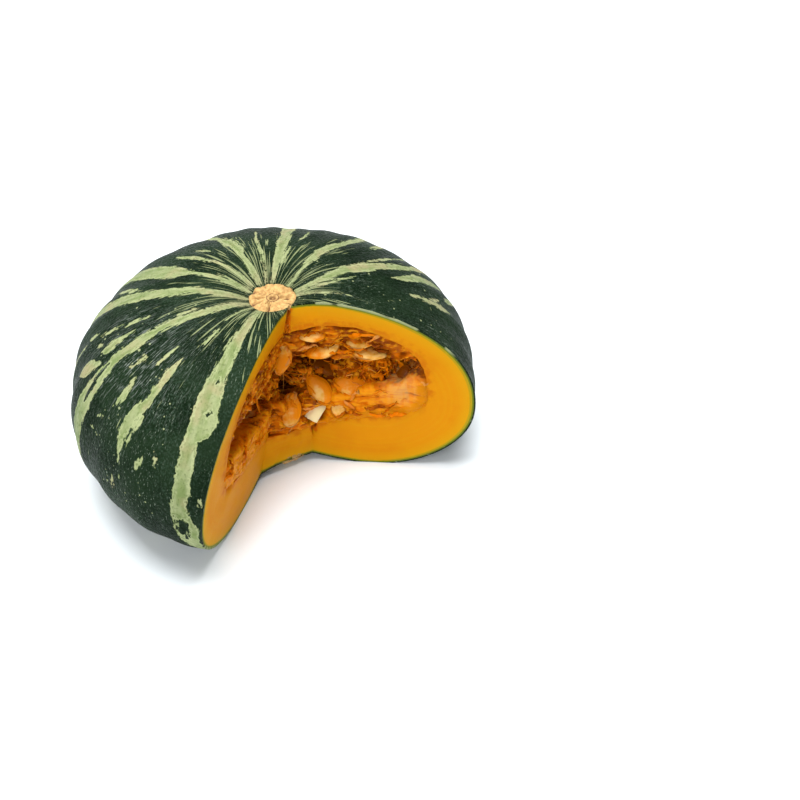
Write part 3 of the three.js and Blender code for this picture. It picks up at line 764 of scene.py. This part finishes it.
def turned(name, outline, steps, centre):
    """A round piece: an outline of radius and height, spun about an upright line."""
    mesh = bpy.data.meshes.new(name)
    points = [Vector((radius, 0, z)) * MM + AXIS + centre for radius, z in outline]
    mesh.from_pydata(points, [(i, i + 1) for i in range(len(points) - 1)], [])
    piece = new_piece(name, mesh)
    edit_all(piece)
    bpy.ops.mesh.spin(steps=steps, angle=radians(360), center=AXIS + centre, axis=(0, 0, 1))
    bpy.ops.mesh.select_all(action="SELECT")
    bpy.ops.mesh.remove_doubles(threshold=1e-5)
    bpy.ops.mesh.normals_make_consistent(inside=False)
    bpy.ops.object.mode_set(mode="OBJECT")
    return piece


def smooth_outline(corners, pieces):
    """More points along an outline."""
    corners = np.array(corners)
    along = np.linspace(0, len(corners) - 1, (len(corners) - 1) * pieces + 1)
    steps = np.arange(len(corners))
    return np.stack([np.interp(along, steps, corners[:, i]) for i in (0, 1)], axis=1)


STEM_TOP = float(skin_profile(np.array([1.0]))[1][0])
CROWN = STEM_TOP + 2.2
RIM = STEM_SCAR_RADIUS
stem_outline = [
    (0, STEM_TOP - 5), (RIM - 2, STEM_TOP - 5), (RIM, STEM_TOP - 1), (RIM - 0.2, CROWN),
    (RIM - 1.2, CROWN + 0.7), (RIM * 0.55, CROWN + 0.3), (RIM * 0.32, CROWN + 0.6),
    (RIM * 0.2, CROWN + 0.9), (RIM * 0.1, CROWN + 0.1), (0, CROWN - 0.3),
]
stem_scar = turned("stem_scar_cork", smooth_outline(stem_outline, 8), 144, SCAR_OFFSET)
scar_shape = vertex_array(stem_scar)
from_middle = scar_shape[:, :2] - np.array(SCAR_OFFSET)[:2] / MM
scar_radius = np.hypot(*from_middle.T)
scar_azimuth = np.arctan2(from_middle[:, 1], from_middle[:, 0])
top_side = (scar_shape[:, 2] > STEM_TOP) & (scar_radius > 0.5)
spokes = np.stack([4 * np.cos(scar_azimuth), 4 * np.sin(scar_azimuth), 0.12 * scar_radius], axis=1)
wrinkles = wander(spokes, 1.0, 1.0) + 0.6 * wander(spokes, 0.45, 8.0)
wrinkles *= np.clip((scar_radius - 2.2) / 2, 0, 1)
cracks = np.clip(-1.6 * wrinkles - 0.15 + 0.6 * wander(scar_shape, 1.4, 5.0), 0, 1)
ring = bell(scar_radius, RIM, 0.8) * np.clip(0.6 + wander(spokes, 1.2, 3.0), 0, 1)
ring += bell(scar_radius, 2.7, 0.5)
pit = bell(scar_radius, 0.9, 0.9)
crumble = 0.3 * wander(scar_shape, 1.6, 3.0) + 0.25 * wander(scar_shape, 0.8, 6.0)
sunk = 0.5 * cracks + 0.4 * ring + 0.5 * pit
scar_shape[:, 2] += np.where(top_side, crumble + 0.9 * wrinkles - sunk, 0)
frill = 0.1 * np.clip(wander(spokes, 1.5, 4.0) + 0.3, 0, 1) * np.clip(scar_radius / RIM - 0.5, 0, 1)
scar_shape[:, :2] += frill[:, None] * from_middle
set_vertices(stem_scar, scar_shape)
write_values(stem_scar, crack=np.clip(np.maximum(cracks, 0.75 * np.maximum(ring, pit)), 0, 1))
cut_away(stem_scar, wedge)
settle(stem_scar, cork_finish, "cork", "stem_scar", crisp=60)

BLOSSOM_OFFSET = Vector((4.0, -8.0, 0.0)) * MM
UNDER = float(skin_profile(np.array([0.0]))[1][0])
BUTTON = 9.0
blossom_outline = [
    (0, UNDER - 3), (BUTTON * 0.6, UNDER - 3), (BUTTON - 1, UNDER - 2.3),
    (BUTTON, UNDER - 0.6), (BUTTON - 1.5, UNDER + 0.4), (0, UNDER + 0.4),
]
blossom_scar = turned("blossom_scar_cork", smooth_outline(blossom_outline, 8), 96, BLOSSOM_OFFSET)
blossom_shape = vertex_array(blossom_scar)
rough = 0.9 * wander(blossom_shape, 2.5, 3.0) + 0.4 * wander(blossom_shape, 1.0, 6.0) - 0.7
blossom_shape[:, 2] += np.where(blossom_shape[:, 2] < UNDER, rough, 0)
set_vertices(blossom_scar, blossom_shape)
write_values(blossom_scar, crack=0.9 * wander(blossom_shape, 1.5, 2.0) - 0.45)
cut_away(blossom_scar, wedge)
settle(blossom_scar, cork_finish, "cork", "blossom_scar", crisp=60)


# Seeds
# Flat, pointed seeds with a raised margin, cream under a thin orange film. They lie loose in the
# pulp where the knife left them; one was cut across, and more of them sit further in.

SEED_LENGTH = 17.0
SEED_WIDTH = 11.0
SEED_THICKNESS = 3.8
SEED_CREAM = (0.74, 0.45, 0.13)
SEED_TAN = (0.66, 0.30, 0.03)
SEED_FILM = (0.68, 0.20, 0.001)
# Deep colour: the thick film's red-brown, and painted shade at each seed's edge and on seeds further in.
SEED_DEEP_SHADE = (0.20, 0.05, 0.001)
SEED_KERNEL = (0.80, 0.66, 0.36)

seed_finish, tree, shader = new_finish("seed_coat", 0.32)
film = read_value(tree, "film")
blotch = object_noise(tree, 240.0, 4.0)
coat = mixed(tree, span(tree, object_noise(tree, 380.0, 3.0), 0.3, 0.7), SEED_TAN, SEED_CREAM)
coat = mixed(tree, span(tree, film, -0.2, -0.05, 1.0, 0.0), coat, SEED_KERNEL)
covered = frayed(tree, film, blotch, 0.3)
coat = mixed(tree, span(tree, covered, 0.25, 0.75), coat, SEED_FILM)
# Painted shade: the deep colour where the film is thickest, and a dark line round each seed's edge.
coat = mixed(tree, span(tree, film, 0.85, 1.0), coat, SEED_DEEP_SHADE)
coat = mixed(tree, span(tree, read_value(tree, "margin"), 0.9, 1.0, 0.0, 0.75), coat, SEED_DEEP_SHADE)
surface(tree, shader, coat, span(tree, blotch, 0.3, 0.7, 0.25, 0.42), 0.07)
glow(shader, 0.12, (1.0, 0.4, 0.1), 0.002)
bumped(tree, shader, object_noise(tree, 900.0, 3.0), 0.2, 0.0005)

# How much film each cut seed keeps, and where it is bare: along x and z from its middle, and how far. A
# share near or above one paints the seed in the deep shade colour.
FILM_ON = {
    "seed_roof_long": (0.75, 4.0, 2.5, 4.0),
    "seed_roof_upper": (0.6, -2.0, -1.0, 5.0),
    "seed_roof_edge": (0.5, 0.0, -1.0, 7.0),
    "seed_roof_tip": (0.7, -4.0, 0.0, 3.5),
    "seed_hanging": (0.8, 2.0, 6.0, 3.0),
    "seed_heap_left": (0.8, 0.5, -2.0, 3.0),
    "seed_heap_right": (0.8, -2.5, -3.5, 3.0),
    "seed_heap_low": (0.6, 0.0, 0.0, 4.0),
    "seed_heap_back": (1.2, 0.0, 0.0, 0.1),
    "seed_ledge_left": (0.75, 1.0, -7.0, 4.5),
    "seed_ledge_cut": (-0.6, 0.0, 0.0, 0.1),
    "seed_wall_right": (1.2, 0.0, 0.0, 0.1),
    "seed_left_upper": (0.8, 0.0, 3.0, 3.0),
    "seed_left_lower": (0.7, 0.0, 3.0, 4.0),
}


def seed_body(segments, rings):
    """A seed about its own middle in millimetres: point towards +Z, flat sides towards Y."""
    bpy.ops.object.select_all(action="DESELECT")
    bpy.ops.mesh.primitive_uv_sphere_add(segments=segments, ring_count=rings, radius=1)
    seed = bpy.context.object
    x, y, z = raw_points(seed).T
    taper = np.where(z > 0, 1 - 0.34 * z, 1.0)
    margin = np.sqrt(np.clip(1 - y ** 2, 0, 1))
    plump = 1 - 0.3 * bell(margin, 0.9, 0.06)
    body = [x * SEED_WIDTH / 2 * taper, y * SEED_THICKNESS / 2 * plump, z * SEED_LENGTH / 2]
    return seed, np.stack(body, axis=1)


def seed_frame(node):
    """A packed seed's middle, size and three directions, from the spread of its vertices."""
    spots = np.unique(np.round(raw_points(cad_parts[node]), 6), axis=0)
    middle = spots.mean(axis=0)
    long, wide = np.linalg.svd(spots - middle, full_matrices=False)[2][:2]
    along = (spots - middle) @ long
    across = np.abs((spots - middle) @ wide)
    if across[along > 0.15 * along.max()].mean() > across[along < 0.15 * along.min()].mean():
        long, along = -long, -along
    centre = middle + long * (along.max() + along.min()) / 2
    size = (along.max() - along.min()) / (SEED_LENGTH * MM)
    return centre, size, np.stack([wide, np.cross(long, wide), long])


def outward_normals(piece):
    """Turns a piece's faces outwards."""
    edit_all(piece)
    bpy.ops.mesh.normals_make_consistent(inside=False)
    bpy.ops.object.mode_set(mode="OBJECT")


def slice_off(piece, place, direction):
    """Cuts a piece flat and closes it, keeping the side that the direction points away from."""
    edit_all(piece)
    bpy.ops.mesh.bisect(plane_co=place, plane_no=direction, use_fill=True, clear_outer=True)
    bpy.ops.object.mode_set(mode="OBJECT")


cut_seed_frames = {}
for node, (film_share, bare_x, bare_z, bare_reach) in FILM_ON.items():
    piece, body = seed_body(48, 30)
    piece.name = node + "_coat"
    centre, size, turn = seed_frame(node)
    cut_seed_frames[node] = (centre, size, turn)
    placed = body * size @ turn
    piece.data.vertices.foreach_set("co", (placed * MM + centre).ravel())
    reach = 2 * np.hypot(body[:, 0] / SEED_WIDTH, body[:, 2] / SEED_LENGTH)
    bare = bell(np.hypot(placed[:, 0] - bare_x, placed[:, 2] - bare_z), 0, bare_reach)
    barest = 0.05 if film_share > 0 else -0.5
    # Film rises towards each seed's edge, and the margin value paints a dark shade line there.
    film_left = film_share + 0.2 * (reach - 0.7) - 0.75 * bare
    write_values(piece, margin=reach * (film_share > 0), film=np.clip(film_left, barest, 1))
    outward_normals(piece)
    if node == "seed_ledge_cut":
        slice_off(piece, centre + 1.0 * MM * turn[1], turn[1] + 0.25 * turn[0])
        slice_off(piece, centre + 3.2 * MM * turn[0], turn[0] + 0.45 * turn[2])
        slice_off(piece, centre - 4.2 * MM * turn[2], -turn[2] + 0.5 * turn[0])
    settle(piece, seed_finish, "seed", node, crisp=35 if node == "seed_ledge_cut" else 180)


def fine_copy(name, node, voxel):
    """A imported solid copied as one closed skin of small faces."""
    piece = new_piece(name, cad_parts[node].data.copy())
    edit_all(piece)
    bpy.ops.mesh.remove_doubles(threshold=1e-6)
    bpy.ops.object.mode_set(mode="OBJECT")
    modify(piece, "REMESH", mode="VOXEL", voxel_size=voxel * MM)
    modify(piece, "SMOOTH", iterations=4)
    return piece


for side in ("floor", "roof"):
    for number in range(1, 7):
        node = f"seeds_{side}_{number}"
        piece = fine_copy(node + "_coat", node, 0.7)
        write_values(piece, film=0.6, margin=0.0)
        settle(piece, seed_finish, "seed", node)


# Pulp
# Wet tissue that held the seeds, hanging from the roof and heaped on the floor of the cavity. It
# grew out of the flesh and tore into ridges and hollows where the seeds sit in it.

PULP_BRIGHT = (0.63, 0.155, 0.0005)
# The deep colour is partly the pulp's dark red and partly painted shade in its valleys, hollows and further
# in.
PULP_DEEP_SHADE = (0.17, 0.031, 0.0005)
PULP_PALE = (0.75, 0.30, 0.006)
PULP_MEMBRANE = (0.60, 0.36, 0.12)
PULP_ROOT = (0.57, 0.19, 0.001)
PULP_VOXEL = 0.8
SIGHT = np.array([-0.05, 0.76, -0.65])

pulp_finish, tree, shader = new_finish("wet_pulp", 0.3)
place = put(tree, "ShaderNodeTexCoord").outputs["Object"]
strings = object_noise(tree, 650.0, 4.0, stretched(tree, place, (0.22, 0.5, 1.0)))
patches = object_noise(tree, 130.0, 3.0, place)
tone = frayed(tree, read_value(tree, "tone"), patches, 0.3)
ridge = frayed(tree, read_value(tree, "ridge"), strings, 0.4)
# Painted shade and light: low tone and the valleys between ridges take the deep colour, high ridges the pale
# one.
pulp_tone = mixed(tree, span(tree, tone, 0.1, 0.7), PULP_DEEP_SHADE, PULP_BRIGHT)
pulp_tone = mixed(tree, span(tree, ridge, 0.5, 1.2, 0.0, 0.65), pulp_tone, PULP_PALE)
pulp_tone = mixed(tree, span(tree, ridge, -0.9, 0.1, 0.8, 0.0), pulp_tone, PULP_DEEP_SHADE)
upright = object_noise(tree, 450.0, 2.0, stretched(tree, place, (1.0, 1.0, 0.12)))
veil_tone = mixed(tree, span(tree, upright, 0.35, 0.6, 0.35, 1.0), PULP_BRIGHT, PULP_MEMBRANE)
pulp_tone = mixed(tree, read_value(tree, "membrane"), pulp_tone, veil_tone)
rooted = frayed(tree, read_value(tree, "rooted"), strings, 0.3)
pulp_tone = mixed(tree, span(tree, rooted, 0.3, 0.8), pulp_tone, PULP_ROOT)
surface(tree, shader, pulp_tone, span(tree, patches, 0.3, 0.7, 0.22, 0.45), 0.035)
glow(shader, 0.1, (1.0, 0.3, 0.06), 0.003)
bumped(tree, shader, strings, 0.6, 0.001)

# Hollows torn in the pulp: middle, radius and depth in millimetres about the fruit's axis
PULP_HOLLOWS = [
    ((61.0, -7.0, 51.0), 8.0, 6.0),
    ((56.0, -9.0, 70.0), 5.0, 5.0),
    ((33.0, -8.0, 75.0), 5.0, 3.5),
    ((46.0, -9.0, 72.0), 6.0, 3.0),
    ((14.0, -9.0, 68.0), 5.0, 4.0),
    ((3.0, -8.0, 48.0), 7.0, 5.0),
    ((-14.0, -30.0, 44.0), 8.0, 4.0),
    ((-16.0, -42.0, 45.0), 5.0, 5.0),
    (TORN_NOTCH, 3.5, 4.0),
]
# Painted shade in it, in hollows and deep places: middle and radius
PULP_SHADE_SPOTS = [
    ((57.0, -4.0, 57.0), 5.5),
    ((56.0, 6.0, 50.0), 7.0),
    ((-16.0, -41.0, 46.0), 4.5),
    (TORN_NOTCH, 3.5),
    ((4.0, -4.0, 43.0), 5.0),
    ((15.0, 2.0, 54.0), 8.0),
    ((25.0, 4.0, 54.0), 7.0),
]
# Seeds that stay under the pulp: how far it swells over them
BURIED_SEEDS = {"seed_wall_right": 6.5, "seed_heap_back": 3.0}
# Painted light: middle of a brighter patch on the pulp by the left cut, in millimetres.
LEFT_WALL_LIGHT = (-19.0, -36.0, 44.0)


def pulp_shade(points):
    """Painted shade: how much darker the pulp is painted further in and in its shaded places."""
    shade = np.clip((points[:, 1] - 6) / 14, 0, 1) * 0.35
    for middle, radius in PULP_SHADE_SPOTS:
        shade += 0.9 * near_spot(points, middle, radius)
    return shade


def pulp_mass(name, node, swell, tone):
    """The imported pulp, drawn out into stringy ridges and hollowed around the cut seeds."""
    piece = fine_copy(name, node, PULP_VOXEL)
    shape = vertex_array(piece)
    normals = raw_points(piece, "normal")
    strung = wander(shape / np.array([4.5, 2.4, 1.0]), 1.7, 3.0)
    ropes = 1 - 3 * np.abs(strung)
    lumps = wander(shape, 1.5, 9.0)
    ridges = 1.3 * wander(shape, 6.0, 7.0) + 1.1 * ropes + 0.4 * lumps
    veil = near_spot(shape, (cut_seed_frames["seed_wall_right"][0] - np.array(AXIS)) / MM, 8.5)
    at_right = bell(off_cut(shape, CREASE[0], RIGHT_CUT), 0, 6) * (shape[:, 0] > 14)
    at_left = bell(off_cut(shape, CORNER[0], LEFT_CUT), 0, 6) * (shape[:, 1] < -18)
    at_cut = np.maximum(at_right, at_left) * np.clip((58 - shape[:, 2]) / 6, 0, 1)
    rooted = at_cut * bell(curve_distance(shape, cavity_curve), 0, 5)
    rooted = np.maximum(rooted, 1.2 * near_spot(shape, TORN_FLAP, 4))
    rooted *= 1 - near_spot(shape, TORN_NOTCH, 4)
    ridges *= (1 - 0.8 * veil) * (1 - 0.6 * at_cut)
    fill = 0.8 + np.clip((shape[:, 0] - 50) / 8, 0, 1)
    moved = shape + (ridges + swell + fill * rooted)[:, None] * normals
    for middle, radius, depth in PULP_HOLLOWS:
        moved += SIGHT * depth * near_spot(shape, middle, radius)[:, None]
    for seed, (centre, size, turn) in cut_seed_frames.items():
        seed_middle = (centre - np.array(AXIS)) / MM
        if seed in BURIED_SEEDS:
            moved -= SIGHT * BURIED_SEEDS[seed] * near_spot(moved, seed_middle, 8)[:, None]
            continue
        local = (moved * MM + np.array(AXIS) - centre) @ turn.T / (size * MM)
        room = np.array([SEED_WIDTH, 2.4 * SEED_THICKNESS, SEED_LENGTH]) / 2
        pushed = 7 * np.clip(1.2 - np.linalg.norm(local / room, axis=1), 0, 1)
        before = (moved - seed_middle) @ SIGHT < 1.0
        moved += SIGHT * np.where(before, pushed, 0)[:, None]
    set_vertices(piece, moved)
    x, y, z = moved.T
    # Painted light near the cut faces and on the left wall, painted shade further in and in the hollows.
    near_cut_light = np.maximum(bell(y, -12, 9) * (x > 0), bell(x, -16, 12) * (y < -16))
    left_wall_light = 0.6 * near_spot(moved, LEFT_WALL_LIGHT, 24)
    tone = tone + 0.6 * near_cut_light * (z < 56) + left_wall_light - pulp_shade(moved)
    ridge = ropes + lumps + 0.6 * at_cut + 0.8 * left_wall_light
    write_values(piece, tone=tone, ridge=ridge, membrane=0.8 * veil, rooted=rooted)
    settle(piece, pulp_finish, "pulp", node)
    return piece


pulp_roof = pulp_mass("pulp_roof_mass", "pulp_roof", 0.4, 0.32)
pulp_floor = pulp_mass("pulp_floor_mass", "pulp_floor", 1.2, 0.3)

# Tufts pulled up from the floor among the seeds: middle and half sizes in millimetres
TUFTS = [
    ((38.0, 5.0, 49.0), (12.0, 7.0, 8.0)),
    ((48.5, 0.0, 53.0), (3.6, 4.0, 11.0)),
    ((55.0, 6.0, 49.0), (8.0, 6.0, 9.0)),
    ((12.0, 6.0, 47.0), (11.0, 7.0, 6.0)),
    ((-8.0, -4.0, 47.0), (8.0, 8.0, 8.0)),
]
bpy.ops.object.select_all(action="DESELECT")
tuft_parts = []
for middle, half in TUFTS:
    bpy.ops.mesh.primitive_ico_sphere_add(subdivisions=5, radius=1)
    part = bpy.context.object
    ball = raw_points(part)
    spots = np.array(middle) + ball * np.array(half)
    strung = wander(spots / np.array([1.1, 1.1, 4.5]), 1.5, 12.0)
    ropes = 1 - 2.6 * np.abs(strung)
    spots += ball * (1.4 * ropes + 2.4 * wander(spots, 5.0, 14.0))[:, None]
    set_vertices(part, spots)
    tone = 0.5 - pulp_shade(spots)
    write_values(part, tone=tone, ridge=ropes + 0.3, membrane=0.0, rooted=0.0)
    tuft_parts.append(part)
pulp_tufts = tuft_parts[0]
pick(pulp_tufts)
for part in tuft_parts:
    part.select_set(True)
bpy.ops.object.join()
pulp_tufts.name = "pulp_tufts"
settle(pulp_tufts, pulp_finish, "pulp")


# Strings
# Loose wet fibres of the same pulp, some lying along its torn surface, the seeds and the ragged
# rim of the cavity, and some still stretched across the gap from roof to floor.

dice = np.random.default_rng(11)
STRING_SIDES = 6


def surface_tree(piece):
    """A finder of the nearest spot on a piece."""
    faces = [tuple(face.vertices) for face in piece.data.polygons]
    return BVHTree.FromPolygons([v.co.copy() for v in piece.data.vertices], faces)


def crawl(finder, start, course, steps, stride, lift):
    """A path that follows a surface, wavering a little."""
    path = [start]
    for _ in range(steps):
        stray = Vector(dice.normal(0, 0.35, 3))
        spot, normal, _, _ = finder.find_nearest(path[-1] + (course + stray).normalized() * stride)
        step = spot + normal * lift - path[-1]
        if step.length > 1e-6:
            course = (0.75 * course + 0.25 * step.normalized()).normalized()
        path.append(spot + normal * lift * (0.3 + 1.4 * dice.random()))
    return path


def tube(path, radius, flat):
    """Vertices and faces of a closed string along a path, thin at both ends and flat if need be."""
    path = [Vector(p) for p in path]
    lean = Vector(dice.normal(0, 0.5, 3)) - Vector(SIGHT)
    verts, faces = [], []
    for i, spot in enumerate(path):
        course = (path[min(i + 1, len(path) - 1)] - path[max(i - 1, 0)]).normalized()
        side = course.cross(lean).normalized()
        other = course.cross(side)
        share = i / (len(path) - 1)
        thick = radius * (0.25 + 0.75 * abs(sin(pi * share)) ** 0.6)
        for k in range(STRING_SIDES):
            turn = 2 * pi * k / STRING_SIDES
            verts.append(spot + (side * cos(turn) + other * (flat * sin(turn))) * thick)
    for i in range(len(path) - 1):
        for k in range(STRING_SIDES):
            a, b = i * STRING_SIDES + k, i * STRING_SIDES + (k + 1) % STRING_SIDES
            faces.append((a, b, b + STRING_SIDES, a + STRING_SIDES))
    last = (len(path) - 1) * STRING_SIDES
    faces.append(tuple(range(STRING_SIDES))[::-1])
    faces.append(tuple(range(last, last + STRING_SIDES)))
    return verts, faces


# Each string: its path, half width, flatness and tone
string_paths = []
for mass, count, shreds, low, high in (
        (pulp_roof, 150, 90, 60, 90), (pulp_floor, 200, 80, 24, 60), (pulp_tufts, 200, 90, 30, 70)):
    finder = surface_tree(mass)
    shape = vertex_array(mass)
    veil = np.empty(len(shape))
    mass.data.attributes["membrane"].data.foreach_get("value", veil)
    facing = raw_points(mass, "normal") @ -SIGHT
    in_reach = (shape[:, 1] < 6) & (shape[:, 2] > low) & (shape[:, 2] < high)
    front = in_reach & (facing > 0.1) & (veil < 0.25)
    upright = 1.2 if mass is pulp_tufts else 0.3
    for number, i in enumerate(dice.choice(np.flatnonzero(front), count + shreds)):
        course = Vector((dice.choice((-1, 1)), 0.35 * dice.normal(), upright * dice.normal())).normalized()
        start = mass.data.vertices[i].co.copy()
        shred = number >= count
        lift = 0.7 if shred else 0.25
        path = crawl(finder, start, course, int(dice.integers(6, 13)), 1.2 * MM, lift * MM)
        width = dice.uniform(0.6, 1.7) if shred else 0.14 + 0.5 * dice.random() ** 3
        string_paths.append((path, width * MM, 0.25 if shred else 1.0, dice.uniform(0.3, 0.95)))

# Curls that stand up from the tufts
tuft_spots = vertex_array(pulp_tufts)
tuft_normals = raw_points(pulp_tufts, "normal")
standing = np.flatnonzero((tuft_normals @ -SIGHT > 0.3) & (tuft_spots[:, 1] < 4) & (tuft_spots[:, 0] > 20))
for i in dice.choice(standing, 70):
    course = Vector(tuft_normals[i]) + Vector(dice.normal(0, 0.6, 3))
    bend = Vector(dice.normal(0, 0.35, 3))
    spot = pulp_tufts.data.vertices[i].co.copy()
    path = [spot - course.normalized() * 0.5 * MM]
    for _ in range(7):
        course = (course + bend).normalized()
        path.append(path[-1] + course * 0.75 * MM)
    string_paths.append((path, dice.uniform(0.2, 0.45) * MM, 1.0, dice.uniform(0.5, 1.0)))

# Strings and films stretched from roof to floor
roof_spots, floor_spots = vertex_array(pulp_roof), vertex_array(pulp_floor)
for count, films, left, right, near, far in ((40, 0, -8, 58, 2, 22), (14, 20, -28, -8, -48, 0)):
    hanging = roof_spots[(roof_spots[:, 2] < 70) & (roof_spots[:, 1] < far) & (roof_spots[:, 1] > near)
                         & (roof_spots[:, 0] > left) & (roof_spots[:, 0] < right)]
    rising = floor_spots[(floor_spots[:, 2] > 36) & (floor_spots[:, 1] < far + 4)]
    for number, spot in enumerate(hanging[dice.choice(len(hanging), count + films)]):
        below = rising[np.hypot(rising[:, 0] - spot[0], rising[:, 1] - spot[1]) < 9]
        if not len(below):
            continue
        film = number >= count
        end = below[dice.integers(len(below))]
        share = np.linspace(0, 1 if dice.random() < 0.55 else dice.uniform(0.3, 0.6), 11)[:, None]
        sway = dice.normal(0, 1.0, 3) * np.sin(np.pi * share)
        sway = sway + dice.normal(0, 0.5, 3) * np.sin(3 * np.pi * share)
        width = dice.uniform(0.4, 1.1) if film else dice.uniform(0.15, 0.4)
        strung = [Vector(p * MM) + AXIS for p in spot + share * (end - spot) + sway]
        string_paths.append((strung, width * MM, 0.2 if film else 1.0, dice.uniform(0.3, 1.0)))


def lay_string(piece, finder, start, course, steps, stride, lift, widths, flat, tones):
    """Adds a string that crawls over a piece from one of its vertices."""
    spot = piece.data.vertices[start].co.copy()
    path = crawl(finder, spot, course, int(dice.integers(*steps)), stride * MM, lift * MM)
    string_paths.append((path, dice.uniform(*widths) * MM, flat, dice.uniform(*tones)))


# Fibres along the ragged rim of the cavity
rim_finder = surface_tree(flesh)
off_right = np.abs(off_cut(flesh_shape, CREASE[0], RIGHT_CUT))
off_left = np.abs(off_cut(flesh_shape, CORNER[0], LEFT_CUT))
at_cut = np.minimum(off_right, off_left) < 1.5
rim = (rim_gap < 1.0) & at_cut & (height < 48) & (flesh_shape[:, 0] < 58)
for i in dice.choice(np.flatnonzero(rim), 60):
    x, y, z = flesh_shape[i]
    reach = CAVITY_ROOF[0] if z > CAVITY_HEIGHT else CAVITY_FLOOR[0]
    across, upward = np.hypot(x, y) / CAVITY_RADIUS ** 2, (z - CAVITY_HEIGHT) / reach ** 2
    level = np.array([x, y]) / np.hypot(x, y)
    course = Vector((-upward * level[0], -upward * level[1], across)).normalized() * dice.choice((-1, 1))
    lay_string(flesh, rim_finder, i, course, (3, 6), 1.0, 0.05, (0.15, 0.4), 1.0, (0.4, 0.9))

# Torn fibres down the upper corner between the cut faces
for i in dice.choice(np.flatnonzero((off_corner < 2.2) & (height > 62) & (height < 86)), 34):
    course = Vector((0.1 * dice.normal(), 0.1 * dice.normal(), dice.choice((-1, 1))))
    lay_string(flesh, rim_finder, i, course, (4, 8), 1.0, 0.15, (0.2, 0.5), 1.0, (0.35, 0.9))

# Shreds of film that cling to the seeds
SHREDS_ON = {
    "seed_heap_left": 7, "seed_heap_right": 9, "seed_heap_low": 3, "seed_ledge_left": 6, "seed_hanging": 8,
    "seed_roof_long": 7, "seed_roof_upper": 5, "seed_roof_edge": 4, "seed_roof_tip": 5, "seed_left_upper": 5,
    "seed_left_lower": 5,
}
for node, count in SHREDS_ON.items():
    piece = bpy.data.objects[node + "_coat"]
    finder = surface_tree(piece)
    facing = raw_points(piece, "normal") @ -SIGHT
    for i in dice.choice(np.flatnonzero(facing > 0.1), count):
        course = Vector(cut_seed_frames[node][2][2]) * dice.choice((-1, 1)) + Vector(dice.normal(0, 0.5, 3))
        course.normalize()
        lay_string(piece, finder, i, course, (4, 8), 1.1, 0.12, (0.3, 1.1), 0.2, (0.5, 0.95))

verts, faces, tones, rims = [], [], [], []
for path, radius, flat, tone in string_paths:
    string_verts, string_faces = tube(path, radius, flat)
    faces += [tuple(i + len(verts) for i in face) for face in string_faces]
    verts += string_verts
    tones += [tone] * len(string_verts)
    edge = [abs(cos(2 * pi * k / STRING_SIDES)) for k in range(STRING_SIDES)]
    rims += [tone - 0.2 if flat == 1 else 0.9 * e - 0.1 for e in edge] * len(path)
string_mesh = bpy.data.meshes.new("pulp_strings")
string_mesh.from_pydata(verts, [], faces)
pulp_strings = new_piece("pulp_strings", string_mesh)
outward_normals(pulp_strings)
membrane = np.where(np.array(tones) > 0.85, 0.4, 0.0)
write_values(pulp_strings, tone=tones, ridge=rims, membrane=membrane, rooted=0.0)
settle(pulp_strings, pulp_finish, "pulp")

delete(wedge, cavity)
